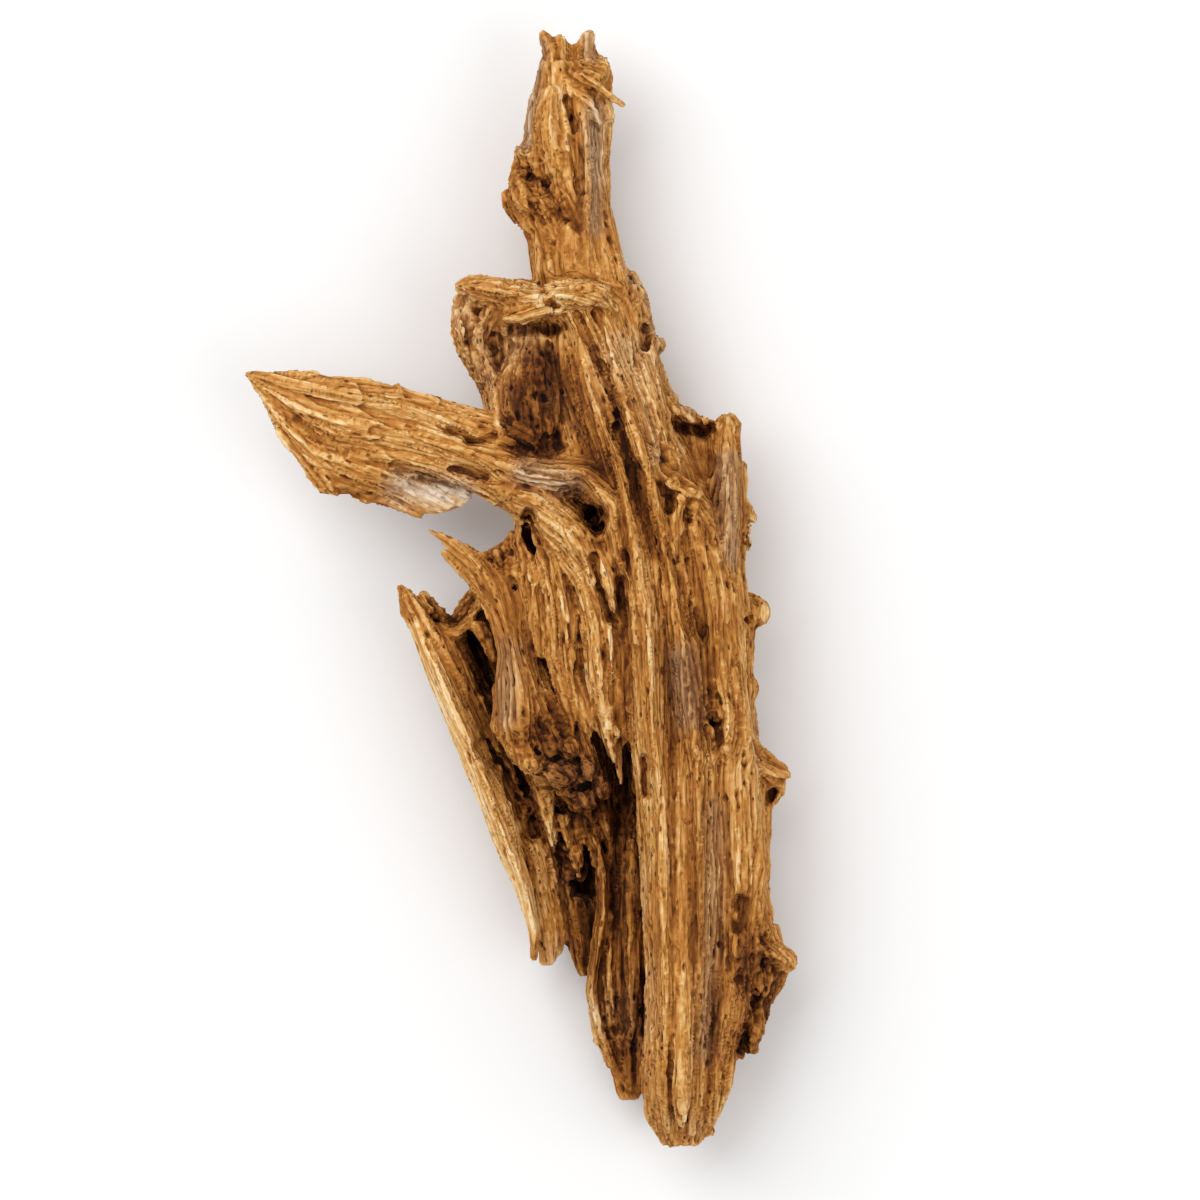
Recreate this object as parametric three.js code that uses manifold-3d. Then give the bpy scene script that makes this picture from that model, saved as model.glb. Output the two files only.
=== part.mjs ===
// A piece of driftwood, lying on its back: a split and eroded root stock, 560 mm long, with a flat pointed
// wing on its left, a hooked crown, a hollow lower left side and a long tapering foot.
// Units are millimetres. +X is to the right and +Y towards the thin upper end, both along the surface that
// the wood lies on, and +Z is up. The origin is the middle of the underside's bounding box.
//
// The wood grew as one piece, so it is one solid. It is made of limbs: cylinders bent along a smooth curve
// through a few stations, and joined. Each station is [x, y, z, width, depth, lean]: the middle of the
// section, its width across the curve, its depth upwards, and how many degrees it leans about the curve.
import * as THREE from "three";
import { mergeVertices } from "three/addons/utils/BufferGeometryUtils.js";
import Module from "manifold-3d";

const LENGTH = 560; // along Y, from the broken top to the foot
const WIDTH = 280; // along X, from the wing's tip to the buttress
const RESTING_HEIGHT = 3; // how high above z = 0 the underside is worn flat
const BROAD = 30; // the width from which a limb's section has more sides
const BROAD_SIDES = 7;
const NARROW_SIDES = 4;
const FLUTE = 0.07; // share of its radius by which a limb's section waves in and out
const FLUTES = 3; // waves round a limb's section
const FLUTE_TURN = 1.3; // radians that the waves turn from one station to the next

const wasm = await Module();
wasm.setup();
const { Manifold, Mesh: SolidMesh } = wasm;

const UP = new THREE.Vector3(0, 0, 1);
const ACROSS = new THREE.Vector3(1, 0, 0);

function solidFrom(geometry) {
  const shell = geometry.clone();
  shell.deleteAttribute("normal");
  shell.deleteAttribute("uv");
  const merged = mergeVertices(shell, 1e-3);
  return new Manifold(
    new SolidMesh({
      numProp: 3,
      vertProperties: new Float32Array(merged.attributes.position.array),
      triVerts: new Uint32Array(merged.index.array),
    }),
  );
}

function geometryFrom(solid) {
  const { vertProperties, triVerts, numProp, numVert } = solid.getMesh();
  const positions = new Float32Array(numVert * 3);
  for (let i = 0; i < numVert; i++)
    positions.set(vertProperties.subarray(i * numProp, i * numProp + 3), i * 3);
  const geometry = new THREE.BufferGeometry();
  geometry.setAttribute("position", new THREE.BufferAttribute(positions, 3));
  geometry.setIndex(new THREE.BufferAttribute(new Uint32Array(triVerts), 1));
  geometry.computeVertexNormals();
  return geometry;
}

/** A cylinder bent along the curve through the stations, and sized by them. */
function limb(...stations) {
  const spans = stations.length - 1;
  const middle = new THREE.CatmullRomCurve3(
    stations.map(([x, y, z]) => new THREE.Vector3(x, y, z)),
  );
  const section = new THREE.CatmullRomCurve3(
    stations.map(
      ([, , , width, depth, lean = 0]) => new THREE.Vector3(width, depth, lean),
    ),
  );
  const broadest = Math.max(...stations.map(([, , , width]) => width));
  const sides = broadest < BROAD ? NARROW_SIDES : BROAD_SIDES;
  const fullness = 1 / Math.sqrt(Math.cos(Math.PI / sides)); // makes up for the corners between few sides
  const geometry = new THREE.CylinderGeometry(1, 1, 1, sides, spans);
  const position = geometry.attributes.position;
  const phase = stations[0][0] + stations[0][1];
  for (let i = 0; i < position.count; i++) {
    const along = THREE.MathUtils.clamp(0.5 - position.getY(i), 0, 1);
    const point = middle.getPoint(along);
    const size = section.getPoint(along);
    const tangent = middle.getTangent(along);
    const side = new THREE.Vector3().crossVectors(UP, tangent);
    if (side.length() < 0.1) side.copy(ACROSS);
    side.normalize().applyAxisAngle(tangent, THREE.MathUtils.degToRad(size.z));
    const top = new THREE.Vector3().crossVectors(tangent, side);
    const round = Math.atan2(position.getZ(i), position.getX(i));
    const turn = FLUTE_TURN * along * spans + phase;
    const radius = (fullness * (1 + FLUTE * Math.sin(FLUTES * round + turn))) / 2;
    point.addScaledVector(side, position.getX(i) * size.x * radius);
    point.addScaledVector(top, position.getZ(i) * size.y * radius);
    position.setXYZ(i, point.x, point.y, point.z);
  }
  return solidFrom(geometry);
}

/** The stock from the broken top down to the foot, with the long ribs that stand out of its face. */
function trunk() {
  return [
    // the heart of the stock
    limb(
      [26, 264, 47, 34, 28],
      [26, 240, 46, 40, 40],
      [22, 212, 45, 44, 46],
      [25, 185, 45, 44, 48],
      [30, 155, 45, 48, 56],
      [32, 125, 45, 68, 62],
      [34, 95, 45, 76, 68],
      [48, 60, 45, 84, 76],
      [62, 25, 45, 84, 80],
      [77, -10, 45, 72, 80],
      [86.5, -50, 44, 58, 78],
      [90, -95, 43, 58, 76],
      [93, -140, 42, 60, 74],
      [92, -185, 40, 56, 68],
      [87, -225, 38, 44, 56],
      [84, -255, 37, 36, 42],
      [80, -278, 37, 19, 18],
    ),
    // the front rib, from the dark panel down the pale left side of the foot
    limb(
      [28, 128, 64, 14, 26],
      [36, 95, 68, 18, 34],
      [50, 55, 72, 22, 40],
      [58, 15, 72, 22, 40],
      [64, -25, 70, 22, 42],
      [66, -65, 68, 24, 46],
      [70, -105, 66, 22, 48],
      [71, -150, 64, 20, 48],
      [73, -200, 60, 18, 44],
      [72, -240, 54, 19, 36],
      [73, -263, 46, 18, 26],
      [77, -278, 40, 12, 14],
    ),
    // the middle rib
    limb(
      [40, 150, 60, 22, 26],
      [47, 110, 64, 24, 34],
      [61, 65, 72, 22, 36],
      [71, 25, 76, 22, 34],
      [80, -20, 74, 24, 36],
      [87, -70, 70, 26, 40],
      [89, -120, 68, 26, 40],
      [90, -170, 64, 24, 40],
      [89, -215, 56, 24, 36],
      [87, -250, 48, 20, 28],
      [85, -272, 42, 14, 16],
    ),
    // the right rib
    limb(
      [56, 150, 48, 12, 24],
      [61, 115, 52, 17, 34],
      [68, 80, 58, 16, 38],
      [86, 35, 64, 24, 40],
      [97, -5, 62, 27, 44],
      [100, -45, 60, 25, 46],
      [104, -90, 56, 30, 48],
      [108, -140, 54, 34, 48],
      [107, -185, 52, 30, 46],
      [100, -220, 48, 20, 40],
      [98, -248, 42, 17, 30],
      [92, -268, 40, 12, 18],
    ),
    // the rough fin down the right of the neck
    limb(
      [55, 158, 44, 5, 8],
      [59, 144, 45, 9, 18],
      [62, 132, 46, 9, 20],
      [64, 115, 46, 10, 28],
      [68, 98, 46, 10, 30],
      [76, 84, 48, 14, 28],
    ),
    // the ribs of the underside
    limb(
      [24, 215, 28, 26, 26],
      [28, 170, 26, 30, 36],
      [38, 115, 25, 44, 38],
      [58, 50, 25, 50, 38],
      [82, -10, 26, 50, 38],
      [94, -80, 26, 46, 38],
      [96, -140, 25, 40, 36],
      [92, -195, 26, 34, 32],
      [86, -235, 28, 24, 22],
    ),
    limb(
      [10, 100, 29, 24, 26],
      [22, 50, 26, 34, 34],
      [36, 0, 26, 36, 36],
      [52, -50, 26, 34, 34],
      [70, -100, 27, 30, 30],
    ),
    // the knobs that it rests on
    limb([30, 182, 16, 10, 12], [33, 160, 10, 18, 18], [38, 138, 16, 10, 12]),
    limb([72, 40, 14, 14, 16], [84, 10, 8, 24, 18], [92, -22, 14, 14, 16]),
    limb([98, -120, 14, 12, 16], [100, -146, 8, 20, 18], [98, -172, 14, 12, 16]),
    limb([16, 30, 16, 12, 14], [26, 0, 10, 20, 18], [38, -28, 16, 12, 14]),
  ];
}

/** The broken top: two horns, a shoulder of loose splinters, and the knot below them on the left. */
function spire() {
  return [
    limb(
      [10, 279, 48, 3, 5],
      [15, 271, 48, 9, 12],
      [16, 255, 48, 14, 22],
      [14, 243, 48, 18, 28],
      [14, 228, 48, 20, 30],
    ),
    limb([20, 277, 46, 5, 6], [21, 266, 46, 11, 14], [22, 250, 47, 14, 22]),
    limb([28, 273, 44, 4, 4], [28, 262, 45, 8, 12], [28, 245, 46, 12, 20]),
    limb([34, 278, 47, 5, 6], [34, 270, 47, 8, 12], [34, 255, 47, 12, 20], [35, 235, 46, 14, 26]),
    limb([41, 266, 44, 5, 8], [42, 256, 46, 8, 14], [39, 240, 44, 12, 20]),
    // the shoulder, and the sticks that stand off it to the right
    limb([31, 255, 62, 8, 8], [38, 255, 60, 12, 12], [42, 260, 54, 8, 12]),
    limb([28, 257, 63, 5, 5], [36, 253, 66, 5, 6], [45, 246, 66, 5, 5], [53, 240, 64, 4, 4]),
    limb([30, 250, 62, 4, 4], [35, 242, 65, 5, 5], [41, 231, 63, 2.5, 3]),
    limb([38, 248, 56, 5, 5], [43, 240, 57, 5, 5], [46, 234, 56, 4, 5]),
    // the face: a split opens between two ridges
    limb(
      [17, 250, 60, 10, 14],
      [15, 232, 62, 16, 18],
      [18, 215, 62, 16, 18],
      [24, 195, 60, 16, 16],
    ),
    limb([31, 246, 60, 7, 12], [33, 225, 60, 8, 18], [34, 195, 60, 10, 22], [34, 165, 60, 12, 22]),
    // the knot
    limb([0, 221, 46, 6, 10], [-1, 210, 48, 9, 18], [3, 200, 50, 14, 26], [8, 188, 50, 16, 28]),
    limb([-2, 204, 56, 8, 12], [4, 197, 62, 12, 14], [14, 192, 66, 12, 12], [24, 192, 64, 10, 10]),
    limb([-6, 199, 50, 5, 8], [-6, 191, 50, 5, 8], [-2, 182, 50, 3, 5]),
    limb([-4, 200, 54, 4, 6], [-2, 190, 56, 5, 7], [4, 180, 54, 7, 9]),
    limb([8, 180, 50, 12, 20], [11, 165, 50, 10, 22], [14, 150, 50, 12, 24]),
  ];
}

/** The hook: a rolled lip that juts to the left and overhangs the dark panel, with a gnarled end. */
function crown() {
  return [
    // what carries the lip
    limb([-18, 142, 48, 26, 40], [0, 138, 48, 34, 52], [22, 136, 48, 30, 56]),
    limb([-14, 128, 42, 26, 34], [2, 112, 40, 36, 44], [20, 98, 40, 40, 50]),
    limb(
      [-26, 138, 50, 14, 30],
      [-20, 120, 48, 20, 36],
      [-12, 100, 46, 16, 36],
      [-7, 84, 48, 14, 34],
    ),
    // the rolled lip
    limb(
      [-31, 151, 62, 7, 12],
      [-20, 149, 68, 13, 22],
      [-5, 146, 74, 14, 24],
      [10, 144, 78, 13, 24],
      [26, 146, 78, 14, 24],
      [38, 144, 74, 12, 22],
      [44, 138, 66, 8, 14],
    ),
    limb([-8, 135, 78, 7, 8], [0, 136, 82, 8, 10], [10, 139, 83, 8, 10], [20, 141, 82, 8, 9]),
    // the gnarled end
    limb(
      [-30, 147, 52, 6, 10],
      [-30, 137, 56, 9, 18],
      [-28, 125, 56, 10, 22],
      [-24, 115, 52, 9, 20],
      [-19, 106, 48, 6, 14],
      [-18, 100, 46, 3, 6],
    ),
    limb([-14, 140, 66, 8, 14], [-19, 130, 64, 8, 12], [-23, 122, 58, 7, 10]),
    // the thin rim down the left of the dark panel
    limb(
      [-20, 126, 52, 9, 18],
      [-15, 112, 56, 8, 20],
      [-12, 96, 60, 6, 22],
      [-11, 80, 64, 5, 20],
      [-8, 62, 66, 6, 18],
    ),
    // the strands that run from the lip into the trunk
    limb([22, 141, 78, 5, 8], [30, 126, 76, 6, 10], [38, 105, 76, 7, 12], [48, 82, 78, 8, 12]),
    limb([32, 140, 74, 6, 10], [40, 120, 72, 8, 14], [50, 95, 72, 9, 16], [60, 70, 76, 10, 16]),
    limb([44, 138, 62, 8, 14], [52, 112, 64, 10, 18], [62, 85, 68, 10, 18], [68, 60, 72, 8, 18]),
  ];
}

/** The wing: a flat board that fans out of its tip and grows into the face of the trunk. */
function wing() {
  return [
    limb(
      [-138, 108, 60, 3, 3],
      [-112, 102, 62, 13, 9],
      [-76, 96, 66, 17, 13],
      [-42, 86, 68, 17, 16],
      [-14, 76, 68, 20, 22],
      [6, 68, 62, 18, 26],
    ),
    limb(
      [-137, 107, 60, 4, 3],
      [-115, 93, 61, 18, 9],
      [-88, 82, 64, 26, 12],
      [-56, 76, 66, 24, 14],
      [-26, 68, 69, 22, 20],
      [4, 56, 70, 26, 30],
      [28, 54, 72, 24, 32],
    ),
    limb(
      [-134, 103, 60, 4, 3],
      [-118, 84, 59, 10, 8],
      [-103, 67, 59, 13, 9],
      [-96, 54, 59, 11, 8],
      [-93, 47, 59, 5, 4],
    ),
    limb([-118, 84, 61, 12, 7], [-98, 68, 61, 22, 10], [-80, 60, 61, 20, 10], [-62, 58, 62, 12, 7]),
    limb([-100, 60, 58, 12, 7], [-91, 54, 57, 16, 8], [-80, 49, 56, 11, 7], [-78, 42, 55, 4, 4]),
    // the lower splinter
    limb([-90, 56, 58, 10, 7], [-76, 47, 57, 9, 6], [-62, 42, 57, 7, 5], [-49, 35, 57, 2.5, 3]),
    // the lower strand of the root
    limb([-66, 68, 64, 12, 9], [-42, 61, 65, 9, 12], [-22, 54, 66, 11, 18], [-2, 46, 66, 16, 26]),
    // the bleached flake that lies behind the notch
    limb([-64, 52, 56, 7, 3], [-52, 50, 56, 18, 3], [-38, 49, 57, 18, 3], [-24, 51, 59, 8, 4]),
    limb([-62, 102, 68, 4, 6], [-60, 98, 70, 6, 7], [-58, 92, 70, 4, 5]),
  ];
}

/** The face below the wing: it flows round the knot hole and ends in a free tongue. */
function face() {
  return [
    limb(
      [-8, 48, 66, 14, 26],
      [10, 42, 71, 24, 32],
      [26, 26, 76, 26, 30],
      [38, 10, 80, 19, 20],
      [44, -2, 83, 11, 10],
      [47, -11, 84, 2.5, 4],
    ),
    limb(
      [-4, 60, 66, 12, 26],
      [14, 58, 70, 20, 30],
      [34, 56, 74, 24, 34],
      [47, 40, 76, 18, 34],
      [50, 18, 76, 18, 32],
      [56, -5, 76, 13, 32],
      [58, -25, 72, 12, 34],
    ),
  ];
}

/** The curtain: ragged strips that hang from the face and hide the hollow's upper end. */
function curtain() {
  return [
    limb(
      [0, 36, 56, 6, 20],
      [4, 17, 60, 12, 16],
      [7, 0, 64, 16, 18],
      [8, -16, 66, 15, 18],
      [10, -34, 66, 6, 10],
    ),
    limb(
      [12, 27, 66, 8, 14],
      [19, 8, 70, 16, 18],
      [22, -14, 72, 20, 20],
      [23, -34, 71, 18, 18],
      [28, -54, 68, 17, 16],
      [33, -72, 66, 6, 8],
    ),
    limb(
      [20, 22, 70, 9, 14],
      [32, 2, 73, 14, 20],
      [37, -18, 74, 16, 22],
      [39, -42, 72, 16, 20],
      [41, -62, 68, 12, 14],
    ),
    limb([33, 10, 78, 6, 8], [41, -10, 80, 7, 10], [45, -28, 79, 6, 9], [46, -48, 76, 2, 3]),
    limb([41, -50, 66, 13, 14], [44, -66, 66, 12, 12], [48, -82, 66, 9, 9], [51, -97, 66, 2.5, 3]),
    // what joins the curtain to the heart of the stock
    limb(
      [14, 34, 42, 34, 36],
      [20, 10, 44, 34, 36],
      [34, -15, 46, 36, 36],
      [46, -50, 44, 34, 32],
      [58, -80, 38, 26, 26],
    ),
  ];
}

/** The column: a smooth limb between a long splinter and a swollen, bark-like bulb. */
function column() {
  return [
    limb(
      [-47, 30, 58, 2, 2],
      [-36, 24, 59, 6, 6],
      [-24, 15, 60, 11, 10],
      [-14, 2, 62, 17, 15],
      [-8, -14, 63, 15, 17],
      [-3, -32, 64, 16, 20],
      [0, -50, 64, 24, 26],
      [1, -68, 63, 27, 30],
      [3, -82, 62, 16, 22],
    ),
    limb([-39, 19, 56, 2, 2], [-30, 11, 57, 5, 6], [-18, 0, 58, 10, 12], [-12, -14, 58, 8, 12]),
    limb([-18, 0, 54, 14, 14], [-4, 8, 56, 16, 14], [8, 4, 58, 18, 18]),
    // the broken rim above the column
    limb([-19, 14, 50, 5, 10], [-10, 18, 48, 8, 14], [-2, 24, 50, 8, 18], [-4, 29, 50, 3, 6]),
    limb([-3, 26, 52, 5, 9], [2, 14, 50, 9, 16], [4, -2, 48, 12, 22], [6, -24, 48, 16, 24]),
    // the bulb
    limb(
      [6, -36, 54, 14, 20],
      [12, -56, 54, 22, 28],
      [17, -72, 54, 32, 34],
      [24, -86, 54, 32, 34],
      [31, -98, 52, 24, 28],
      [33, -109, 48, 10, 16],
    ),
    limb([-2, -82, 60, 10, 14], [8, -87, 62, 12, 14], [20, -92, 62, 12, 14]),
    // its stalk into the hollow's floor
    limb([14, -40, 38, 28, 30], [26, -70, 36, 34, 32], [38, -100, 32, 30, 28]),
  ];
}

/** The hollow lower left side: a split plank with a broken top, and the thin wall behind it. */
function plank() {
  return [
    // the outer edge
    limb(
      [-61, 2, 48, 3, 4],
      [-53, -14, 50, 8, 14],
      [-41, -42, 52, 11, 22],
      [-29, -70, 53, 13, 24],
      [-17, -97, 54, 13, 24],
      [-7, -124, 53, 11, 22],
      [2, -150, 50, 8, 18],
      [7, -172, 47, 6, 12],
      [7, -187, 46, 4, 6],
    ),
    limb([-61, -5, 44, 3, 4], [-53, -20, 44, 6, 8]),
    // the wall that slopes from it into the hollow
    limb(
      [-48, -10, 38, 14, 10, -20],
      [-36, -36, 36, 26, 12, -25],
      [-22, -66, 34, 30, 12, -28],
      [-8, -98, 33, 32, 12, -28],
      [6, -130, 33, 28, 12, -24],
      [11, -158, 35, 18, 10, -20],
      [14, -180, 38, 9, 6],
    ),
    limb([11, -160, 37, 12, 8], [13, -174, 37, 11, 6], [14, -189, 37, 8, 3]),
    limb([14, -158, 34, 10, 6], [19, -172, 34, 8, 5], [20, -185, 34, 3, 3]),
    // the floor of the hollow
    limb(
      [-34, -18, 22, 22, 14],
      [-18, -52, 14, 36, 18],
      [0, -90, 12, 44, 20],
      [21, -128, 14, 42, 18],
      [28, -162, 19, 27, 14],
      [33, -195, 22, 6, 6],
    ),
    // the broken top rim, with its cross-bars
    limb(
      [-50, -2, 42, 5, 8],
      [-44, -12, 40, 9, 12],
      [-34, -20, 34, 10, 14],
      [-26, -12, 34, 14, 16],
      [-18, -4, 40, 14, 16],
    ),
    limb(
      [-56, 0, 46, 3, 5],
      [-50, -12, 52, 6, 9],
      [-42, -24, 54, 7, 9],
      [-34, -38, 53, 6, 8],
      [-26, -52, 48, 4, 8],
    ),
    limb(
      [-42, -20, 50, 6, 8],
      [-32, -23, 50, 6, 8],
      [-24, -15, 51, 7, 8],
      [-17, -24, 52, 8, 9],
      [-12, -36, 50, 5, 8],
    ),
    limb([-24, -14, 48, 7, 8], [-16, -4, 50, 9, 12], [-10, 4, 54, 10, 12]),
    // the flakes inside
    limb([8, -80, 44, 14, 16], [10, -96, 42, 13, 12], [13, -112, 40, 11, 9], [17, -128, 38, 4, 5]),
    limb([18, -100, 26, 14, 16], [25, -122, 26, 14, 14], [26, -146, 28, 9, 6]),
    limb([-18, -60, 44, 8, 8], [-8, -88, 42, 8, 8], [2, -112, 41, 7, 8], [0, -122, 40, 4, 5]),
  ];
}

/** The second foot: a thin shell behind the hollow, with a rib along its free left edge. */
function secondFoot() {
  return [
    limb(
      [46, -70, 24, 30, 22],
      [50, -110, 22, 30, 20],
      [51, -150, 20, 28, 18],
      [51, -190, 20, 32, 18],
      [52, -220, 22, 26, 18],
      [54, -242, 26, 18, 16],
      [54, -257, 28, 9, 9],
    ),
    limb(
      [33, -108, 44, 6, 10],
      [35, -122, 40, 6, 14],
      [41, -142, 34, 6, 20],
      [42, -162, 32, 6, 22],
      [39, -182, 30, 7, 20],
      [36, -202, 30, 7, 16],
      [40, -222, 30, 7, 14],
      [47, -240, 30, 6, 12],
    ),
    limb([38, -106, 38, 12, 12], [43, -120, 34, 11, 12], [46, -130, 30, 6, 8]),
    limb([61, -215, 26, 10, 14], [61, -235, 28, 9, 14], [60, -253, 30, 5, 7]),
    limb([42, -226, 26, 4, 4], [36, -228, 28, 2, 2]),
  ];
}

/** The right side: the ear with its cup, the beak in front of it, and the knobs down to the buttress. */
function rightSide() {
  return [
    // the ear and the plate behind its cup
    limb(
      [103, 87, 58, 10, 10],
      [103, 74, 58, 13, 18],
      [104, 56, 58, 14, 26],
      [104, 34, 56, 18, 32],
      [102, 10, 58, 18, 36],
      [105, -14, 56, 18, 36],
    ),
    limb([96, 84, 50, 12, 12], [92, 66, 48, 30, 20], [88, 46, 48, 34, 34], [92, 20, 48, 36, 44]),
    limb([75, 97, 52, 4, 8], [78, 88, 54, 7, 16], [86, 83, 56, 8, 14], [93, 81, 54, 5, 8]),
    limb([111, 64, 48, 5, 6], [111, 55, 48, 6, 10], [109, 45, 48, 7, 10]),
    limb([104, 42, 46, 12, 20], [112, 39, 47, 10, 16], [117, 33, 46, 5, 10]),
    limb([106, 34, 42, 12, 14], [112, 29, 40, 8, 8], [116, 29, 40, 3, 4]),
    limb([106, 28, 42, 12, 14], [111, 23, 42, 8, 8], [116, 21, 42, 3, 4]),
    // the beak
    limb([69, 60, 76, 4, 6], [76, 53, 81, 11, 10], [84, 48, 83, 9, 9], [90, 46, 82, 3, 4]),
    limb([76, 54, 77, 9, 10], [77, 34, 78, 7, 10], [78, 20, 77, 6, 8], [78, 11, 77, 3, 4]),
    limb([89, 44, 78, 5, 8], [86, 37, 79, 7, 9], [86, 33, 78, 4, 5]),
    // the knobs down the edge
    limb(
      [103, -5, 50, 15, 24],
      [112, -9, 49, 14, 18],
      [119, -11, 48, 12, 12],
      [124, -12, 47, 5, 6],
    ),
    limb([110, -18, 48, 16, 26], [110, -42, 48, 12, 22], [112, -68, 48, 10, 24]),
    limb(
      [106, -78, 52, 18, 30],
      [116, -88, 52, 16, 24],
      [126, -93, 50, 14, 18],
      [133, -93, 48, 8, 12],
    ),
    limb([129, -92, 46, 8, 14], [130, -101, 44, 5, 10], [126, -108, 42, 4, 8]),
    limb([118, -96, 44, 14, 26], [119, -120, 44, 13, 28], [119, -148, 44, 10, 26]),
    // the buttress, split from the foot along its lower edge
    limb(
      [110, -142, 48, 20, 36],
      [115, -164, 48, 20, 34],
      [121, -180, 46, 16, 30],
      [131, -186, 44, 13, 22],
      [138, -186, 42, 4, 8],
    ),
    limb(
      [118, -172, 42, 20, 26],
      [124, -193, 38, 20, 26],
      [119, -209, 34, 14, 24],
      [115, -224, 30, 11, 20],
      [109, -235, 28, 4, 8],
    ),
    limb(
      [110, -178, 56, 18, 26],
      [112, -196, 54, 18, 22],
      [111, -212, 50, 10, 16],
      [110, -224, 48, 3, 5],
    ),
    limb([86, -262, 40, 14, 14], [92, -270, 38, 9, 10], [97, -274, 36, 3, 5]),
  ];
}

/** What wear has taken away: knot holes, the dark panel, the cup of the ear and the long splits. */
function hollows() {
  return [
    // the knot hole in the face, slanting down to the right
    limb([24, 47, 104, 14, 12], [31, 41, 88, 11, 11], [36, 36, 74, 10, 12], [39, 32, 52, 8, 9]),
    // the dark panel under the lip
    limb([2, 126, 84, 20, 24], [4, 112, 82, 28, 32], [6, 92, 82, 26, 32], [6, 70, 84, 22, 26]),
    limb([12, 124, 78, 14, 20], [17, 104, 80, 16, 22], [22, 84, 84, 14, 20]),
    // the split down the spire's face
    limb([22, 248, 72, 3, 10], [25, 236, 70, 6, 14], [27, 222, 70, 5, 12], [30, 204, 72, 3, 8]),
    // the cup of the ear
    limb([80, 82, 66, 12, 14], [88, 74, 70, 20, 26], [90, 62, 74, 18, 24], [88, 52, 78, 10, 16]),
    // the dark corner under the face
    limb([3, 36, 62, 6, 34], [5, 26, 60, 9, 40], [8, 18, 66, 6, 30]),
    // the split between the curtain and the trunk
    limb([51, 6, 92, 5, 16], [51, -16, 84, 7, 44], [51, -44, 80, 7, 44], [50, -66, 76, 5, 44]),
    // the hollow between the bulb and the foot
    limb(
      [50, -74, 60, 12, 40],
      [52, -100, 56, 14, 44],
      [53, -125, 50, 14, 38],
      [54, -160, 46, 12, 30],
      [56, -200, 46, 11, 26],
    ),
    // the window in the plank's top and the deep side of the hollow
    limb([-27, -26, 46, 12, 5], [-19, -25, 46, 9, 5]),
    limb([-22, -34, 46, 14, 14], [-18, -48, 46, 12, 16], [-14, -62, 44, 6, 12]),
    limb(
      [34, -134, 34, 6, 16],
      [34, -146, 32, 7, 16],
      [30, -158, 34, 12, 16],
      [24, -166, 34, 8, 12],
    ),
    limb([25, -168, 30, 2, 40], [24, -178, 30, 3, 40], [22, -188, 30, 5, 40]),
    // knots and splits in the foot and the buttress
    limb([110, -154, 80, 8, 10], [110, -162, 74, 10, 12], [108, -172, 76, 8, 8]),
    limb([121, -174, 66, 8, 10], [123, -176, 58, 6, 8]),
    limb([118, -202, 56, 5, 14], [116, -214, 50, 6, 16], [112, -228, 44, 5, 14]),
    limb([98, -62, 84, 8, 6], [95, -68, 78, 7, 8], [94, -72, 70, 5, 8]),
  ];
}

const grown = Manifold.union([
  ...trunk(),
  ...spire(),
  ...crown(),
  ...wing(),
  ...face(),
  ...curtain(),
  ...column(),
  ...plank(),
  ...secondFoot(),
  ...rightSide(),
]);
const worn = grown.subtract(Manifold.union(hollows()));

// The underside is worn flat where it rests, and everything below that height is gone.
const aboveGround = new THREE.BoxGeometry(2 * WIDTH, 2 * LENGTH, LENGTH);
aboveGround.translate(0, 0, LENGTH / 2 + RESTING_HEIGHT);
const whole = worn.intersect(solidFrom(aboveGround));

const wood = new THREE.Mesh(
  geometryFrom(whole),
  new THREE.MeshStandardMaterial({ color: 0xb07a3c, roughness: 0.8, metalness: 0 }),
);
wood.name = "driftwood";
wood.geometry.computeBoundingBox();
const box = wood.geometry.boundingBox;
wood.position.set(-(box.min.x + box.max.x) / 2, -(box.min.y + box.max.y) / 2, -box.min.z);

const driftwood = new THREE.Group();
driftwood.add(wood);
export default driftwood;
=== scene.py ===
# A piece of driftwood, lying on its back: a split, hollowed and sea-worn root stock, 560 mm long.
# Sizes and places in this file are millimetres, turned into Blender's metres by MM. +X is to the right, +Y
# towards the thin broken top, and +Z up out of the weathered face.
import math

import bpy
import numpy as np
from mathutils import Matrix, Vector, kdtree, noise
from mathutils.bvhtree import BVHTree


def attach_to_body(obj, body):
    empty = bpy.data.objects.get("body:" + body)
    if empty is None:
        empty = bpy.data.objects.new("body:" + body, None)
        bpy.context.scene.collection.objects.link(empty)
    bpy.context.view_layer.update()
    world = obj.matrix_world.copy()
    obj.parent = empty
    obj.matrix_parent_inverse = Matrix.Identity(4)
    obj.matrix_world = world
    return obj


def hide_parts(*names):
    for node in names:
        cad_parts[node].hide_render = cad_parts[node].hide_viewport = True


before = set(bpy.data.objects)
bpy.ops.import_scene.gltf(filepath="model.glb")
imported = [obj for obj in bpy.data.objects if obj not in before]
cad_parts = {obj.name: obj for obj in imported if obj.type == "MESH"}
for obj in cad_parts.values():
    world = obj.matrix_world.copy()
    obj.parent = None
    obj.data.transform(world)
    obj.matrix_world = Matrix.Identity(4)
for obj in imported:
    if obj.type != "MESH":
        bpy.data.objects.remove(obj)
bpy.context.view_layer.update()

MM = 0.001


# ---- Camera: straight above, with the thin top of the stock towards the top of the view ----

VIEW_CENTRE = (39.5, -5.4)  # the point of the floor that the camera stands over
VIEW_WIDTH = 600  # how much the camera takes in at half the wood's height
CAMERA_HEIGHT = 5000
HALF_HEIGHT = 50
SENSOR = 36

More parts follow.
